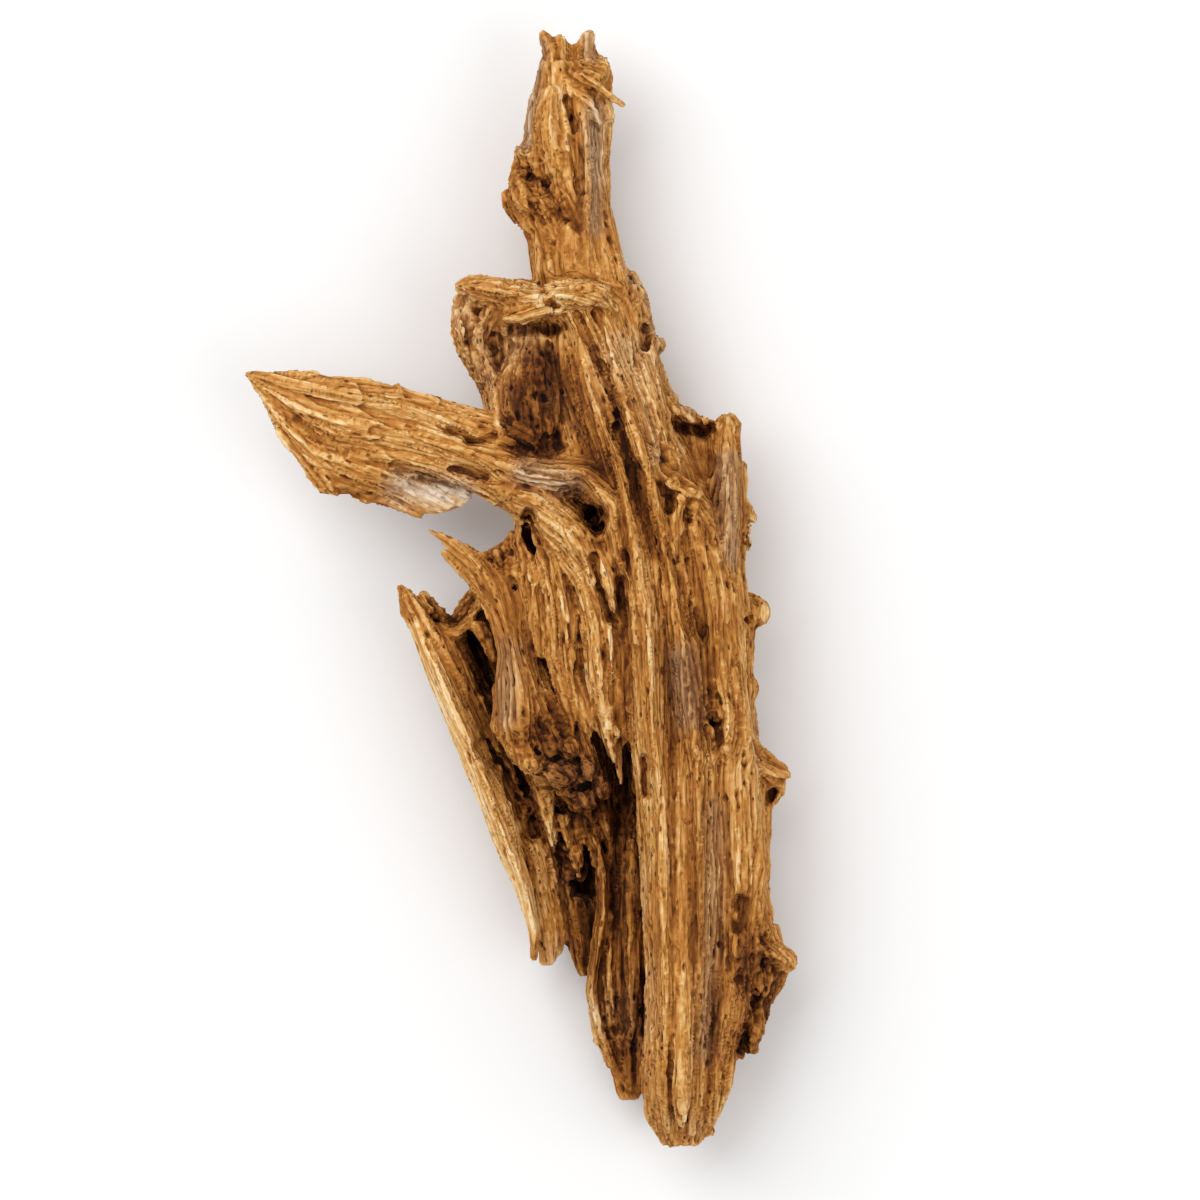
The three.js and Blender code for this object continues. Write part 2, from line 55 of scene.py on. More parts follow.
camera_data = bpy.data.cameras.new("camera")
camera_data.sensor_width = SENSOR
camera_data.lens = SENSOR * (CAMERA_HEIGHT - HALF_HEIGHT) / VIEW_WIDTH
camera_data.clip_end = 50
camera = bpy.data.objects.new("camera", camera_data)
bpy.context.collection.objects.link(camera)
camera.location = (VIEW_CENTRE[0] * MM, VIEW_CENTRE[1] * MM, CAMERA_HEIGHT * MM)
bpy.context.scene.camera = camera


# ---- Studio: a pale floor, a large soft lamp on the upper left, a weaker one opposite, a white room ----

FLOOR_SIZE = 12  # metres
FLOOR_DROP = 0.2  # keeps the floor just clear of the worn flats below the wood
FLOOR_PAINT = (0.8, 0.8, 0.8, 1)

bpy.ops.mesh.primitive_plane_add(size=FLOOR_SIZE, location=(0, 0, -FLOOR_DROP * MM))
floor = bpy.context.active_object
floor.name = "floor"
floor_paint = bpy.data.materials.new("floor_paint")
floor_paint.use_nodes = True
floor_paint.node_tree.nodes["Principled BSDF"].inputs["Base Color"].default_value = FLOOR_PAINT
floor_paint.node_tree.nodes["Principled BSDF"].inputs["Roughness"].default_value = 0.9
floor.data.materials.append(floor_paint)


def soft_lamp(name, place, aim, size, watts):
    """A square lamp at a place, turned to shine at a point, all in metres."""
    lamp_data = bpy.data.lights.new(name, "AREA")
    lamp_data.size = size
    lamp_data.energy = watts
    lamp = bpy.data.objects.new(name, lamp_data)
    bpy.context.collection.objects.link(lamp)
    lamp.location = place
    lamp.rotation_euler = (Vector(place) - Vector(aim)).to_track_quat("Z", "Y").to_euler()


soft_lamp("key_lamp", place=(-1.0, 1.0, 1.9), aim=(0, 0, 0), size=2.0, watts=38)
soft_lamp("fill_lamp", place=(1.4, -0.6, 1.6), aim=(0, 0, 0), size=1.6, watts=13)

room = bpy.data.worlds.new("room")
room.use_nodes = True
room.node_tree.nodes["Background"].inputs["Color"].default_value = (1, 1, 1, 1)
room.node_tree.nodes["Background"].inputs["Strength"].default_value = 0.72
bpy.context.scene.world = room
bpy.context.scene.view_settings.view_transform = "Standard"


# ---- The stock: one piece of wood, grown and then split and hollowed ----
# The plain solid is the start. Splinters stand where fibres have torn, and burrs where the wood grew hard.
# The whole is given one fine, even skin, its hollows are scooped out, and its hard corners are worn round.

ROUGH_GRID = 1.3
SKIN_GRID = 0.95
WORN_ROUNDS = 2
SEED_SHIFT = (7.31, 3.17, 5.53)  # from the noise of one seed to that of the next


def select_only(piece):
    bpy.ops.object.select_all(action="DESELECT")
    piece.select_set(True)
    bpy.context.view_layer.objects.active = piece


def finish_with(piece, kind, **settings):
    """Adds a modifier to the piece and applies it."""
    select_only(piece)
    modifier = piece.modifiers.new(kind.lower(), kind)
    for setting, value in settings.items():
        setattr(modifier, setting, value)
    bpy.ops.object.modifier_apply(modifier=modifier.name)


def join_into(piece, others):
    bpy.ops.object.select_all(action="DESELECT")
    for other in others:
        other.select_set(True)
    piece.select_set(True)
    bpy.context.view_layer.objects.active = piece
    bpy.ops.object.join()


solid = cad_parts["driftwood"]
wood = bpy.data.objects.new("weathered_wood", solid.data.copy())
bpy.context.collection.objects.link(wood)
select_only(wood)
bpy.ops.object.mode_set(mode="EDIT")
bpy.ops.mesh.select_all(action="SELECT")
bpy.ops.mesh.remove_doubles(threshold=0.00001)
bpy.ops.object.mode_set(mode="OBJECT")


def splinter(root, tip, width, depth):
    """A torn strip of fibres, broad and flat at its root and sharp at its tip."""
    start, end = Vector(root) * MM, Vector(tip) * MM
    bpy.ops.mesh.primitive_cone_add(
        vertices=6,
        radius1=1,
        radius2=0.15,
        depth=(end - start).length,
        location=(start + end) / 2,
        rotation=(end - start).to_track_quat("Z", "Y").to_euler(),
        scale=(width * MM / 2, depth * MM / 2, 1),
    )
    piece = bpy.context.active_object
    bpy.ops.object.transform_apply(location=True, rotation=True, scale=True)
    return piece


def burr(place, size):
    """A rounded lump of hard wood."""
    middle, scale = Vector(place) * MM, Vector(size) * MM
    bpy.ops.mesh.primitive_ico_sphere_add(subdivisions=3, radius=0.5, location=middle, scale=scale)
    piece = bpy.context.active_object
    bpy.ops.object.transform_apply(location=True, rotation=True, scale=True)
    return piece


splinters = [
    # the sticks at the broken top, and the torn fin down the neck
    splinter((36, 250, 52), (54, 241, 60), 5, 5),
    splinter((40, 256, 50), (43, 267, 48), 6, 8),
    splinter((60, 146, 44), (57.5, 158.5, 44), 5, 7),
    splinter((64, 142, 44), (61, 151, 44), 4, 6),
    # the ragged lower side of the wing
    splinter((-60, 46, 54), (-47, 34.5, 54), 6, 4),
    splinter((-104, 58, 56), (-99, 45, 56), 8, 5),
    splinter((-93, 54, 56), (-91, 42.5, 55), 6, 5),
    splinter((-84, 54, 56), (-85, 43.5, 55), 6, 5),
    splinter((-76, 50, 56), (-78, 39, 55), 6, 4),
    splinter((-70, 48, 56), (-69, 40, 55), 6, 4),
    # the tongue on the face, and the fringe of the curtain
    splinter((41, 14, 79), (46.5, -13, 84), 13, 9),
    splinter((3, -6, 60), (5.5, -24, 61), 7, 8),
    splinter((11, -22, 66), (11.5, -35, 66), 7, 7),
    splinter((19, -38, 68), (20, -51, 67), 7, 7),
    splinter((27, -54, 66), (27.5, -70, 64), 8, 7),
    splinter((34, -60, 66), (35, -75, 63), 8, 7),
    splinter((44, -16, 82), (46, -50, 79), 5, 5),
    splinter((44, -58, 68), (50.5, -98, 65), 17, 10),
    # the long splinters over the notch, and the broken rim
    splinter((-30, 20, 57), (-47.5, 30.5, 55), 8, 6),
    splinter((-28, 11, 55), (-39.5, 20, 54), 6, 6),
    splinter((-20, 3, 54), (-30.5, 7.5, 54), 6, 6),
    splinter((-5, 20, 50), (-6, 30, 50), 5, 6),
    splinter((-12, 14, 48), (-16.5, 20.5, 48), 5, 6),
    # the plank's broken top, its bottom, and the tips along its inner edge
    splinter((-57, -10, 45), (-61, 3, 46), 5, 5),
    splinter((-58, -14, 46), (-63, -3.5, 46), 4, 4),
    splinter((-53, -10, 44), (-56.5, 1, 46), 4, 4),
    splinter((-46, -13, 42), (-49.5, 0, 44), 5, 5),
    splinter((9, -172, 44), (4.5, -187, 43), 5, 4),
    splinter((13, -172, 37), (15.5, -188.5, 36), 7, 4),
    splinter((15, -158, 46), (20, -174, 42), 3, 3),
    splinter((-13, -88, 48), (-9, -103, 45), 6, 7),
    splinter((-7, -106, 48), (-3.5, -122, 45), 6, 7),
    # the plank's sloping inner face
    splinter((-37, -24, 42), (5, -152, 40), 24, 15),
    # the tongues inside the hollow, and the twig on the second foot
    splinter((11, -92, 46), (16, -132, 41), 13, 5),
    splinter((24, -112, 38), (30, -149, 34), 14, 6),
    splinter((41, -222, 27), (35.5, -228.5, 29), 3, 3),
    # the torn edge below the ear, and the beak
    splinter((105, 37, 45), (118, 35.5, 45), 8, 8),
    splinter((107, 31, 42), (117, 28, 42), 4, 5),
    splinter((107, 26, 41), (116, 24.5, 41), 3, 4),
    splinter((107, 22, 40), (116, 20, 40), 6, 6),
    splinter((74, 56, 84), (93, 45, 82), 11, 9),
    splinter((77, 46, 83), (78, 8, 78), 9, 9),
    splinter((108, -74, 50), (135, -93, 47), 15, 16),
]
burrs = [
    # the crown's gnarled end and rolled lip
    burr((-25, 139, 52), (15, 15, 26)),
    burr((-24, 126, 50), (14, 15, 24)),
    burr((-18, 112, 46), (13, 18, 24)),
    burr((-14, 96, 46), (9, 22, 26)),
    burr((-8, 149, 66), (26, 12, 18)),
    burr((28, 147, 70), (26, 12, 18)),
    burr((33, 147, 80), (20, 12, 12)),
    burr((-14, 150, 74), (20, 9, 12)),
    burr((-28, 149, 60), (9, 11, 16)),
    # the knot below the broken top, and the neck
    burr((6, 196, 56), (22, 18, 18)),
    burr((1, 214, 46), (10, 14, 24)),
    burr((68, 122, 48), (9, 9, 14)),
    # the bulb
    burr((14, -78, 56), (30, 26, 28)),
    burr((28, -96, 52), (24, 24, 24)),
    burr((2, -78, 58), (20, 22, 28)),
    burr((20, -93, 66), (15, 11, 16)),
    burr((33, -91, 62), (12, 13, 16)),
    burr((6, -86, 66), (14, 10, 14)),
    burr((30, -106, 54), (12, 13, 16)),
    burr((40, -100, 52), (9, 12, 14)),
    burr((24, -79, 68), (10, 11, 14)),
    # the lumps down the right edge
    burr((118, -88, 46), (16, 14, 20)),
    burr((118, -12, 46), (14, 14, 18)),
    burr((113, -50, 44), (12, 14, 16)),
    burr((114, -75, 44), (11, 9, 14)),
    burr((132, -186, 41), (12, 13, 18)),
    # the floor of the long groove, and the face of the second foot
    burr((51, -24, 58), (15, 104, 44)),
    burr((64, 38, 64), (13, 56, 30)),
    burr((52, -170, 26), (24, 130, 28)),
    # the broad back of the foot, the floor of the dark panel, and the worn face of the buttress
    burr((80, -150, 64), (18, 240, 38)),
    burr((6, 92, 56), (38, 66, 44)),
    burr((110, -162, 62), (14, 24, 24)),
    burr((115, -216, 38), (14, 36, 22)),
    # behind the gaps of the hollow and under the broken rim
    burr((-24, -32, 12), (30, 50, 16)),
    burr((-21, -14, 22), (26, 24, 16)),
    burr((-12, 13, 34), (16, 16, 16)),
    burr((4, 31, 22), (16, 22, 18)),
    burr((26, -128, 14), (26, 64, 16)),
    burr((31, -148, 11), (24, 40, 16)),
    # the bleached flake behind the notch of the wing
    burr((-46, 49, 54), (46, 24, 5)),
    burr((-70, 53, 56), (22, 13, 6)),
    burr((-60, 59, 57), (18, 12, 6)),
    # the ear and the beak
    burr((104, 80, 54), (12, 16, 16)),
    burr((83, 88, 52), (11, 6, 12)),
    burr((92, 83, 52), (8, 6, 12)),
    burr((86, 79, 43), (24, 16, 22)),
    burr((85, 41, 77), (10, 12, 12)),
]
join_into(wood, splinters + burrs)
finish_with(wood, "REMESH", mode="VOXEL", voxel_size=ROUGH_GRID * MM)


def read_points(piece):
    points = np.empty(len(piece.data.vertices) * 3)
    piece.data.vertices.foreach_get("co", points)
    return points.reshape(-1, 3) / MM


def write_points(piece, points):
    piece.data.vertices.foreach_set("co", (points * MM).ravel())
    piece.data.update()


def read_normals(piece):
    normals = np.empty(len(piece.data.vertices) * 3)
    piece.data.vertex_normals.foreach_get("vector", normals)
    return normals.reshape(-1, 3)


def speckle(points, grid, seed):
    """Smooth noise between about -1 and 1 whose lumps are one grid apart."""
    shift = Vector([seed * step for step in SEED_SHIFT])
    return np.array([noise.noise(Vector(point) + shift) for point in points / grid])


def line_gap(points, line):
    """How far each point is from a line through some places."""
    if len(line) == 1:
        return np.linalg.norm(points - np.array(line[0], dtype=float), axis=1)
    gap = np.full(len(points), np.inf)
    for start, end in zip(line[:-1], line[1:]):
        start, end = np.array(start, dtype=float), np.array(end, dtype=float)
        run = end - start
        share = np.clip(((points - start) @ run) / (run @ run), 0, 1)
        gap = np.minimum(gap, np.linalg.norm(points - start - share[:, None] * run, axis=1))
    return gap


def near_line(points, line, reach):
    """1 on a line through some places, falling smoothly to 0 at its reach."""
    share = np.clip(1 - line_gap(points, line) / reach, 0, 1)
    return share * share * (3 - 2 * share)


# Each scoop: the line it follows seen from above, how far it reaches to either side, how deep it is worn,
# and the height above which it works. A negative depth is a ridge that has been left standing.
SCOOPS = [
    ([(37, 37), (38, 33)], 7.0, 34, 50),  # the knot hole and the slope that leads into it
    ([(24, 48), (33, 41)], 6, 5, 55),
    ([(2, 106), (4, 90), (8, 74)], 16, 3, 50),  # the dark panel
    ([(14, 112), (17, 92), (20, 80)], 8, 2, 50),
    ([(-4, 129), (6, 131), (16, 130)], 5, 5, 55),
    ([(84, 76), (88, 62)], 18, 6, 40),  # the cup of the ear
    ([(78, 82), (92, 79)], 5, 6, 40),
    ([(51, 16), (50, -4), (51, -24), (50, -66)], 5.5, 3, 45),  # between the curtain and the trunk
    ([(36, 16), (41, -2), (44.5, -16)], 3, 8, 60),
    ([(57, 58), (61, 44), (66, 28), (73, 10), (82, -10), (87, -20)], 8, 4, 50),  # the dark groove
    ([(4, 36), (8, 24)], 5, 14, 30),
    ([(-26, -26), (-21, -38), (-18, -50)], 6, 6, 15),  # the upper end of the hollow
    ([(-20, -78), (-6, -98), (6, -122)], 6, 8, 15),
    ([(30, -118), (32, -134), (31, -150)], 8, 14, 8),
    ([(51, -78), (51, -104), (49, -160), (50, -220)], 6, 6, 12),
    ([(110, -156), (110, -166)], 7, 2.5, 40),  # the knots at the lower right
    ([(105, -186), (106, -194)], 4.5, 5, 40),
    ([(114, -186), (112, -196)], 10, 4, 30),
    ([(122, -175)], 5, 3, 30),
    ([(118, -202), (115, -216), (111, -230)], 6, 4, 15),
    ([(14, -84), (27, -85)], 3.5, 4, 40),
    ([(26, -99), (34, -98), (38, -92)], 3.5, 5, 40),
    ([(8, -80), (12, -90)], 3, 3, 40),
    ([(91, -68), (92, -72)], 3, 4, 40),
    ([(-1, 215), (0, 211)], 4, 8, 35),
    ([(23, 244), (25, 236), (27, 230)], 4, 5, 40),
    ([(-22, 139)], 6, 4, 40),
    ([(9, 155), (11, 147), (17, 142)], 4, 4, 60),
    ([(-29, 143), (-28, 136)], 3, 3, 30),
    ([(-18, 121), (-15, 118)], 5, 3, 40),
    ([(62, -84), (63, -102)], 3.5, 10, 40),
    ([(62, 129), (61, 121)], 5, 8, 30),
    ([(112, 26), (112, 18)], 4, 9, 20),
    ([(-85, 49), (-72, 46)], 4, 2, 50),
    ([(-26, 73), (-14, 75)], 3.5, 5, 55),
    ([(-36, 79), (-28, 77)], 3, 3, 55),
    ([(-33, 60), (-18, 56)], 4.5, 5, 55),
    ([(83, 39), (84, 35)], 3, 6, 60),
    ([(127, -100), (123, -106)], 4, 4, 25),
    ([(75, 43), (74, 40)], 3.5, 7, 60),
    ([(96, -46), (105, -62), (103, -78), (93, -86), (84, -77)], 3.5, -2.5, 45),
    ([(27, 30), (38, 26), (46, 33), (46, 42), (38, 48)], 4, -3, 50),
    ([(100, 70), (98, 45), (100, 15)], 4, -2.5, 40),
    ([(-6, 205), (-1, 196), (6, 182)], 3.5, -2.5, 40),
    ([(4, 206), (5, 198), (9, 190)], 3, 3, 45),
    ([(12, 204), (14, 196), (20, 190)], 3, 2.5, 45),
]
SCOOP_FLOOR = 7  # no scoop reaches lower than this above the ground
RAGGED_GRID = 5.0
RAGGEDNESS = 0.55  # how much the reach of a scoop wanders

points = read_points(wood)
normals = read_normals(wood)
flat = points * (1, 1, 0)
ragged = 1 + RAGGEDNESS * speckle(points, RAGGED_GRID, seed=11)
for line, reach, depth, lowest in SCOOPS:
    share = np.clip(1.5 * near_line(flat, [(x, y, 0) for x, y in line], reach * ragged), 0, 1)
    open_side = np.clip(normals[:, 2] * 2 + 0.6, 0, 1) * (points[:, 2] > lowest)
    floor_here = np.minimum(points[:, 2], SCOOP_FLOOR)
    points[:, 2] = np.maximum(points[:, 2] - depth * share * open_side, floor_here)
write_points(wood, points)

finish_with(wood, "REMESH", mode="VOXEL", voxel_size=SKIN_GRID * MM)
finish_with(wood, "SMOOTH", factor=0.5, iterations=WORN_ROUNDS)

# Any crumb or closed bubble that the new skin has left apart from the piece is dropped.
select_only(wood)
bpy.ops.mesh.separate(type="LOOSE")
parts = sorted(bpy.context.selected_objects, key=lambda part: len(part.data.vertices))
wood = parts.pop()
for part in parts:
    bpy.data.objects.remove(part)
wood.name = "weathered_wood"


# ---- The grain: the lines that the fibres follow, from the thin end to the foot and out of the wing ----
# Fibres run along the stock, turn round the knots, and fan out of the wing. Each line is a list of points.

GRAIN_LINES = [
    # the broken top
    [
        (12, 278, 45), (15, 255, 52), (15, 230, 57), (20, 205, 57), (24, 185, 55), (26, 165, 53),
        (28, 150, 53),
    ],
    [(24, 275, 43), (25, 250, 52), (27, 225, 55), (31, 200, 55), (34, 175, 55), (38, 155, 55)],
    [
        (36, 277, 43), (37, 255, 49), (38, 230, 52), (40, 205, 52), (43, 180, 51), (47, 160, 49),
        (52, 140, 47),
    ],
    [(4, 245, 41), (2, 225, 43), (5, 205, 45), (8, 185, 47), (9, 165, 47), (11, 150, 45)],
    [(-2, 217, 49), (-3, 207, 52), (0, 197, 57), (6, 187, 57), (12, 178, 55)],
    [(8, 214, 57), (7, 205, 60), (11, 196, 62), (18, 187, 60), (22, 176, 56)],
    [(17, 212, 60), (17, 203, 62), (21, 195, 62), (26, 185, 58)],
    [(-7, 198, 45), (-4, 188, 47), (2, 180, 49)],
    [(30, 257, 60), (44, 248, 62), (54, 241, 61)],
    # the hooked crown
    [
        (-32, 150, 57), (-20, 152, 65), (-5, 149, 73), (10, 147, 77), (26, 149, 77), (38, 146, 69),
        (46, 138, 59),
    ],
    [(-10, 134, 75), (0, 136, 79), (10, 139, 81), (20, 141, 79), (28, 138, 77)],
    [(-31, 146, 53), (-31, 135, 55), (-29, 123, 53), (-24, 112, 49), (-19, 102, 45)],
    [
        (-24, 146, 63), (-22, 133, 63), (-22, 120, 59), (-17, 108, 53), (-13, 95, 51), (-10, 80, 53),
        (-8, 64, 59),
    ],
    [(-14, 140, 65), (-18, 128, 59), (-14, 112, 51)],
    # the dark panel
    [(-4, 126, 59), (-3, 110, 59), (-2, 95, 59), (0, 78, 61), (4, 64, 63)],
    [(4, 128, 61), (5, 110, 59), (7, 92, 59), (9, 76, 61), (14, 64, 67)],
    [(14, 130, 63), (16, 112, 61), (20, 92, 63), (24, 78, 69)],
    # the strands that leave the crown for the trunk
    [
        (22, 142, 77), (30, 126, 75), (36, 108, 75), (42, 90, 77), (48, 70, 79), (52, 50, 81),
        (56, 25, 81), (60, 0, 81),
    ],
    [
        (32, 140, 73), (40, 120, 73), (48, 98, 73), (55, 78, 75), (60, 58, 77), (64, 35, 77),
        (68, 10, 77),
    ],
    [(46, 138, 61), (53, 112, 63), (60, 86, 65), (66, 62, 69), (72, 38, 73), (78, 15, 75)],
    [(54, 150, 47), (60, 125, 49), (66, 105, 51), (70, 85, 51)],
    # the ear, its cup and the beak
    [(104, 88, 55), (106, 70, 57), (106, 50, 57), (105, 30, 57), (104, 10, 57), (106, -10, 55)],
    [(97, 84, 47), (98, 68, 49), (98, 52, 51), (97, 35, 55), (96, 15, 59), (97, -5, 61)],
    [(78, 92, 51), (82, 78, 47), (86, 64, 45), (90, 52, 49)],
    [(88, 85, 51), (90, 70, 47), (92, 58, 47)],
    [(68, 62, 73), (76, 54, 79), (84, 49, 81), (91, 46, 79)],
    [(76, 50, 77), (77, 36, 77), (78, 22, 76), (78, 10, 75)],
    # the wing
    [
        (-138, 108, 57), (-115, 104, 61), (-90, 99, 64), (-62, 95, 67), (-38, 86, 69), (-16, 78, 69),
        (2, 70, 65),
    ],
    [
        (-138, 107, 57), (-116, 96, 59), (-90, 88, 63), (-60, 82, 67), (-34, 74, 69), (-10, 65, 71),
        (12, 58, 73), (28, 50, 75),
    ],
    [
        (-137, 106, 57), (-118, 88, 58), (-96, 76, 60), (-70, 70, 63), (-48, 66, 65), (-28, 60, 67),
        (-8, 52, 69), (8, 44, 71),
    ],
    [(-136, 104, 57), (-118, 80, 57), (-100, 64, 57), (-84, 56, 57), (-66, 50, 57), (-50, 42, 55)],
    [(-135, 102, 57), (-122, 80, 56), (-109, 62, 56), (-97, 48, 55)],
    [(-60, 66, 63), (-42, 61, 65), (-24, 54, 65), (-6, 46, 67)],
    [(-136, 106, 55), (-110, 96, 53), (-84, 84, 53), (-56, 76, 55), (-28, 68, 53), (0, 58, 47)],
    # the face, which flows round the knot hole
    [(8, 58, 77), (22, 54, 81), (34, 52, 83), (45, 46, 81), (50, 34, 79), (50, 18, 77), (50, 2, 75)],
    [(4, 46, 75), (18, 42, 79), (27, 34, 79), (32, 26, 79), (38, 14, 79), (43, 2, 79), (47, -11, 79)],
    [(-6, 42, 67), (8, 34, 71), (20, 24, 73), (32, 8, 75), (38, -8, 75)],
    # the trunk and its foot
    [
        (56, 55, 79), (60, 25, 81), (63, -5, 79), (65, -40, 77), (66, -80, 77), (69, -120, 77),
        (71, -160, 75), (73, -200, 71), (74, -240, 63), (76, -275, 45),
    ],
    [
        (66, 60, 75), (70, 30, 77), (74, 0, 77), (78, -35, 75), (80, -75, 75), (81, -120, 75),
        (82, -165, 73), (82, -210, 67), (82, -250, 55), (82, -278, 39),
    ],
    [
        (80, 15, 75), (84, -15, 73), (85, -40, 71), (82, -60, 71), (84, -78, 71), (88, -92, 71),
        (91, -120, 69), (92, -160, 65), (91, -200, 59), (90, -240, 49), (88, -272, 39),
    ],
    [
        (92, 10, 63), (96, -20, 63), (100, -42, 63), (103, -58, 63), (103, -74, 63), (98, -88, 67),
        (98, -115, 65), (99, -150, 61), (98, -190, 55), (97, -225, 47), (95, -255, 41),
    ],
    [
        (102, -5, 57), (106, -30, 57), (108, -60, 55), (110, -90, 53), (110, -120, 53),
        (106, -140, 55), (103, -158, 57), (102, -172, 57), (104, -190, 53), (104, -215, 45),
        (102, -240, 39),
    ],
    [
        (112, 0, 49), (114, -25, 49), (114, -50, 47), (116, -75, 47), (119, -100, 45),
        (120, -125, 45), (120, -150, 43), (124, -170, 43), (134, -184, 41),
    ],
    # the knobs and the buttress
    [(108, -78, 53), (118, -84, 51), (128, -90, 47), (133, -93, 45)],
    [(110, -145, 49), (117, -160, 49), (124, -174, 47), (134, -185, 43)],
    [(126, -178, 43), (126, -195, 39), (121, -212, 33), (112, -232, 25)],
    [(112, -180, 57), (113, -198, 53), (111, -215, 47)],
    # the curtain
    [(2, 30, 57), (6, 12, 63), (9, -8, 67), (10, -28, 65)],
    [(10, 28, 69), (17, 8, 73), (21, -14, 77), (23, -36, 75), (28, -56, 71), (33, -72, 65)],
    [(22, 22, 73), (31, 2, 77), (37, -20, 79), (40, -44, 77), (42, -66, 71), (50, -97, 63)],
    [(34, 12, 79), (42, -10, 81), (46, -30, 79), (47, -50, 75), (48, -70, 69)],
    # the column and its bulb
    [
        (-47, 30, 55), (-34, 23, 57), (-23, 13, 59), (-15, 0, 63), (-9, -16, 67), (-5, -34, 71),
        (-2, -52, 73), (-1, -70, 73), (2, -86, 69),
    ],
    [
        (-39, 19, 53), (-28, 9, 55), (-18, -2, 59), (-14, -16, 61), (-12, -34, 63), (-13, -54, 63),
        (-13, -74, 61),
    ],
    [(-3, 26, 51), (1, 10, 57), (3, -10, 61), (5, -30, 65), (8, -50, 63)],
    [(8, -52, 63), (14, -66, 65), (20, -80, 65), (27, -94, 61), (32, -108, 53)],
    [(-10, -82, 57), (0, -88, 59), (12, -90, 61), (22, -92, 61)],
    # the split plank, its wall and the floor of the hollow
    [
        (-61, 2, 47), (-53, -14, 53), (-41, -42, 57), (-29, -70, 59), (-17, -97, 59), (-7, -124, 57),
        (2, -150, 53), (7, -172, 47), (8, -186, 45),
    ],
    [
        (-46, -14, 41), (-34, -40, 39), (-20, -70, 39), (-7, -100, 37), (6, -132, 35),
        (13, -160, 37), (16, -185, 37),
    ],
    [(-28, -30, 31), (-16, -58, 29), (-2, -90, 27), (12, -122, 25), (20, -150, 25), (22, -180, 27)],
    [(-14, -70, 21), (4, -100, 19), (20, -130, 19), (28, -160, 21), (33, -192, 21)],
    [(-48, -4, 43), (-42, -14, 43), (-32, -18, 41), (-24, -8, 43), (-16, 0, 49)],
    # the second foot
    [
        (33, -108, 45), (35, -122, 43), (41, -142, 41), (42, -162, 39), (39, -182, 37),
        (37, -202, 35), (41, -224, 35), (48, -242, 33), (54, -256, 29),
    ],
    [(46, -80, 33), (50, -115, 27), (51, -150, 25), (51, -190, 25), (54, -225, 27), (55, -250, 29)],
    [(58, -90, 37), (59, -130, 31), (60, -170, 29), (61, -210, 29), (60, -245, 31)],
    # the back
    [
        (24, 270, 27), (24, 230, 23), (26, 190, 19), (32, 150, 15), (40, 110, 9), (52, 70, 7),
        (66, 30, 7), (80, -10, 7), (90, -60, 7), (95, -110, 7), (96, -160, 7), (92, -200, 11),
        (86, -240, 17), (82, -275, 25),
    ],
    [
        (10, 150, 25), (8, 120, 19), (14, 80, 11), (24, 40, 9), (36, 0, 9), (50, -45, 9),
        (64, -90, 11), (72, -130, 15), (76, -180, 17),
    ],
    [
        (40, 230, 25), (42, 190, 23), (50, 150, 21), (58, 110, 17), (72, 60, 17), (90, 20, 17),
        (104, -20, 17), (110, -70, 17), (112, -120, 17), (112, -170, 17), (106, -215, 21),
    ],
    [(-34, -20, 13), (-20, -55, 7), (0, -90, 3), (20, -130, 5), (28, -165, 9)],
    [(50, -120, 11), (52, -170, 11), (54, -220, 15), (54, -250, 19)],
    [(-30, 145, 37), (-20, 130, 27), (-12, 110, 25), (-4, 90, 25)],
]
GRAIN_STEP = 3  # between the samples of a grain line
BUNDLE_GAP = (53.0, 17.0)  # sideways, so that no two bundles of fibres share a pattern


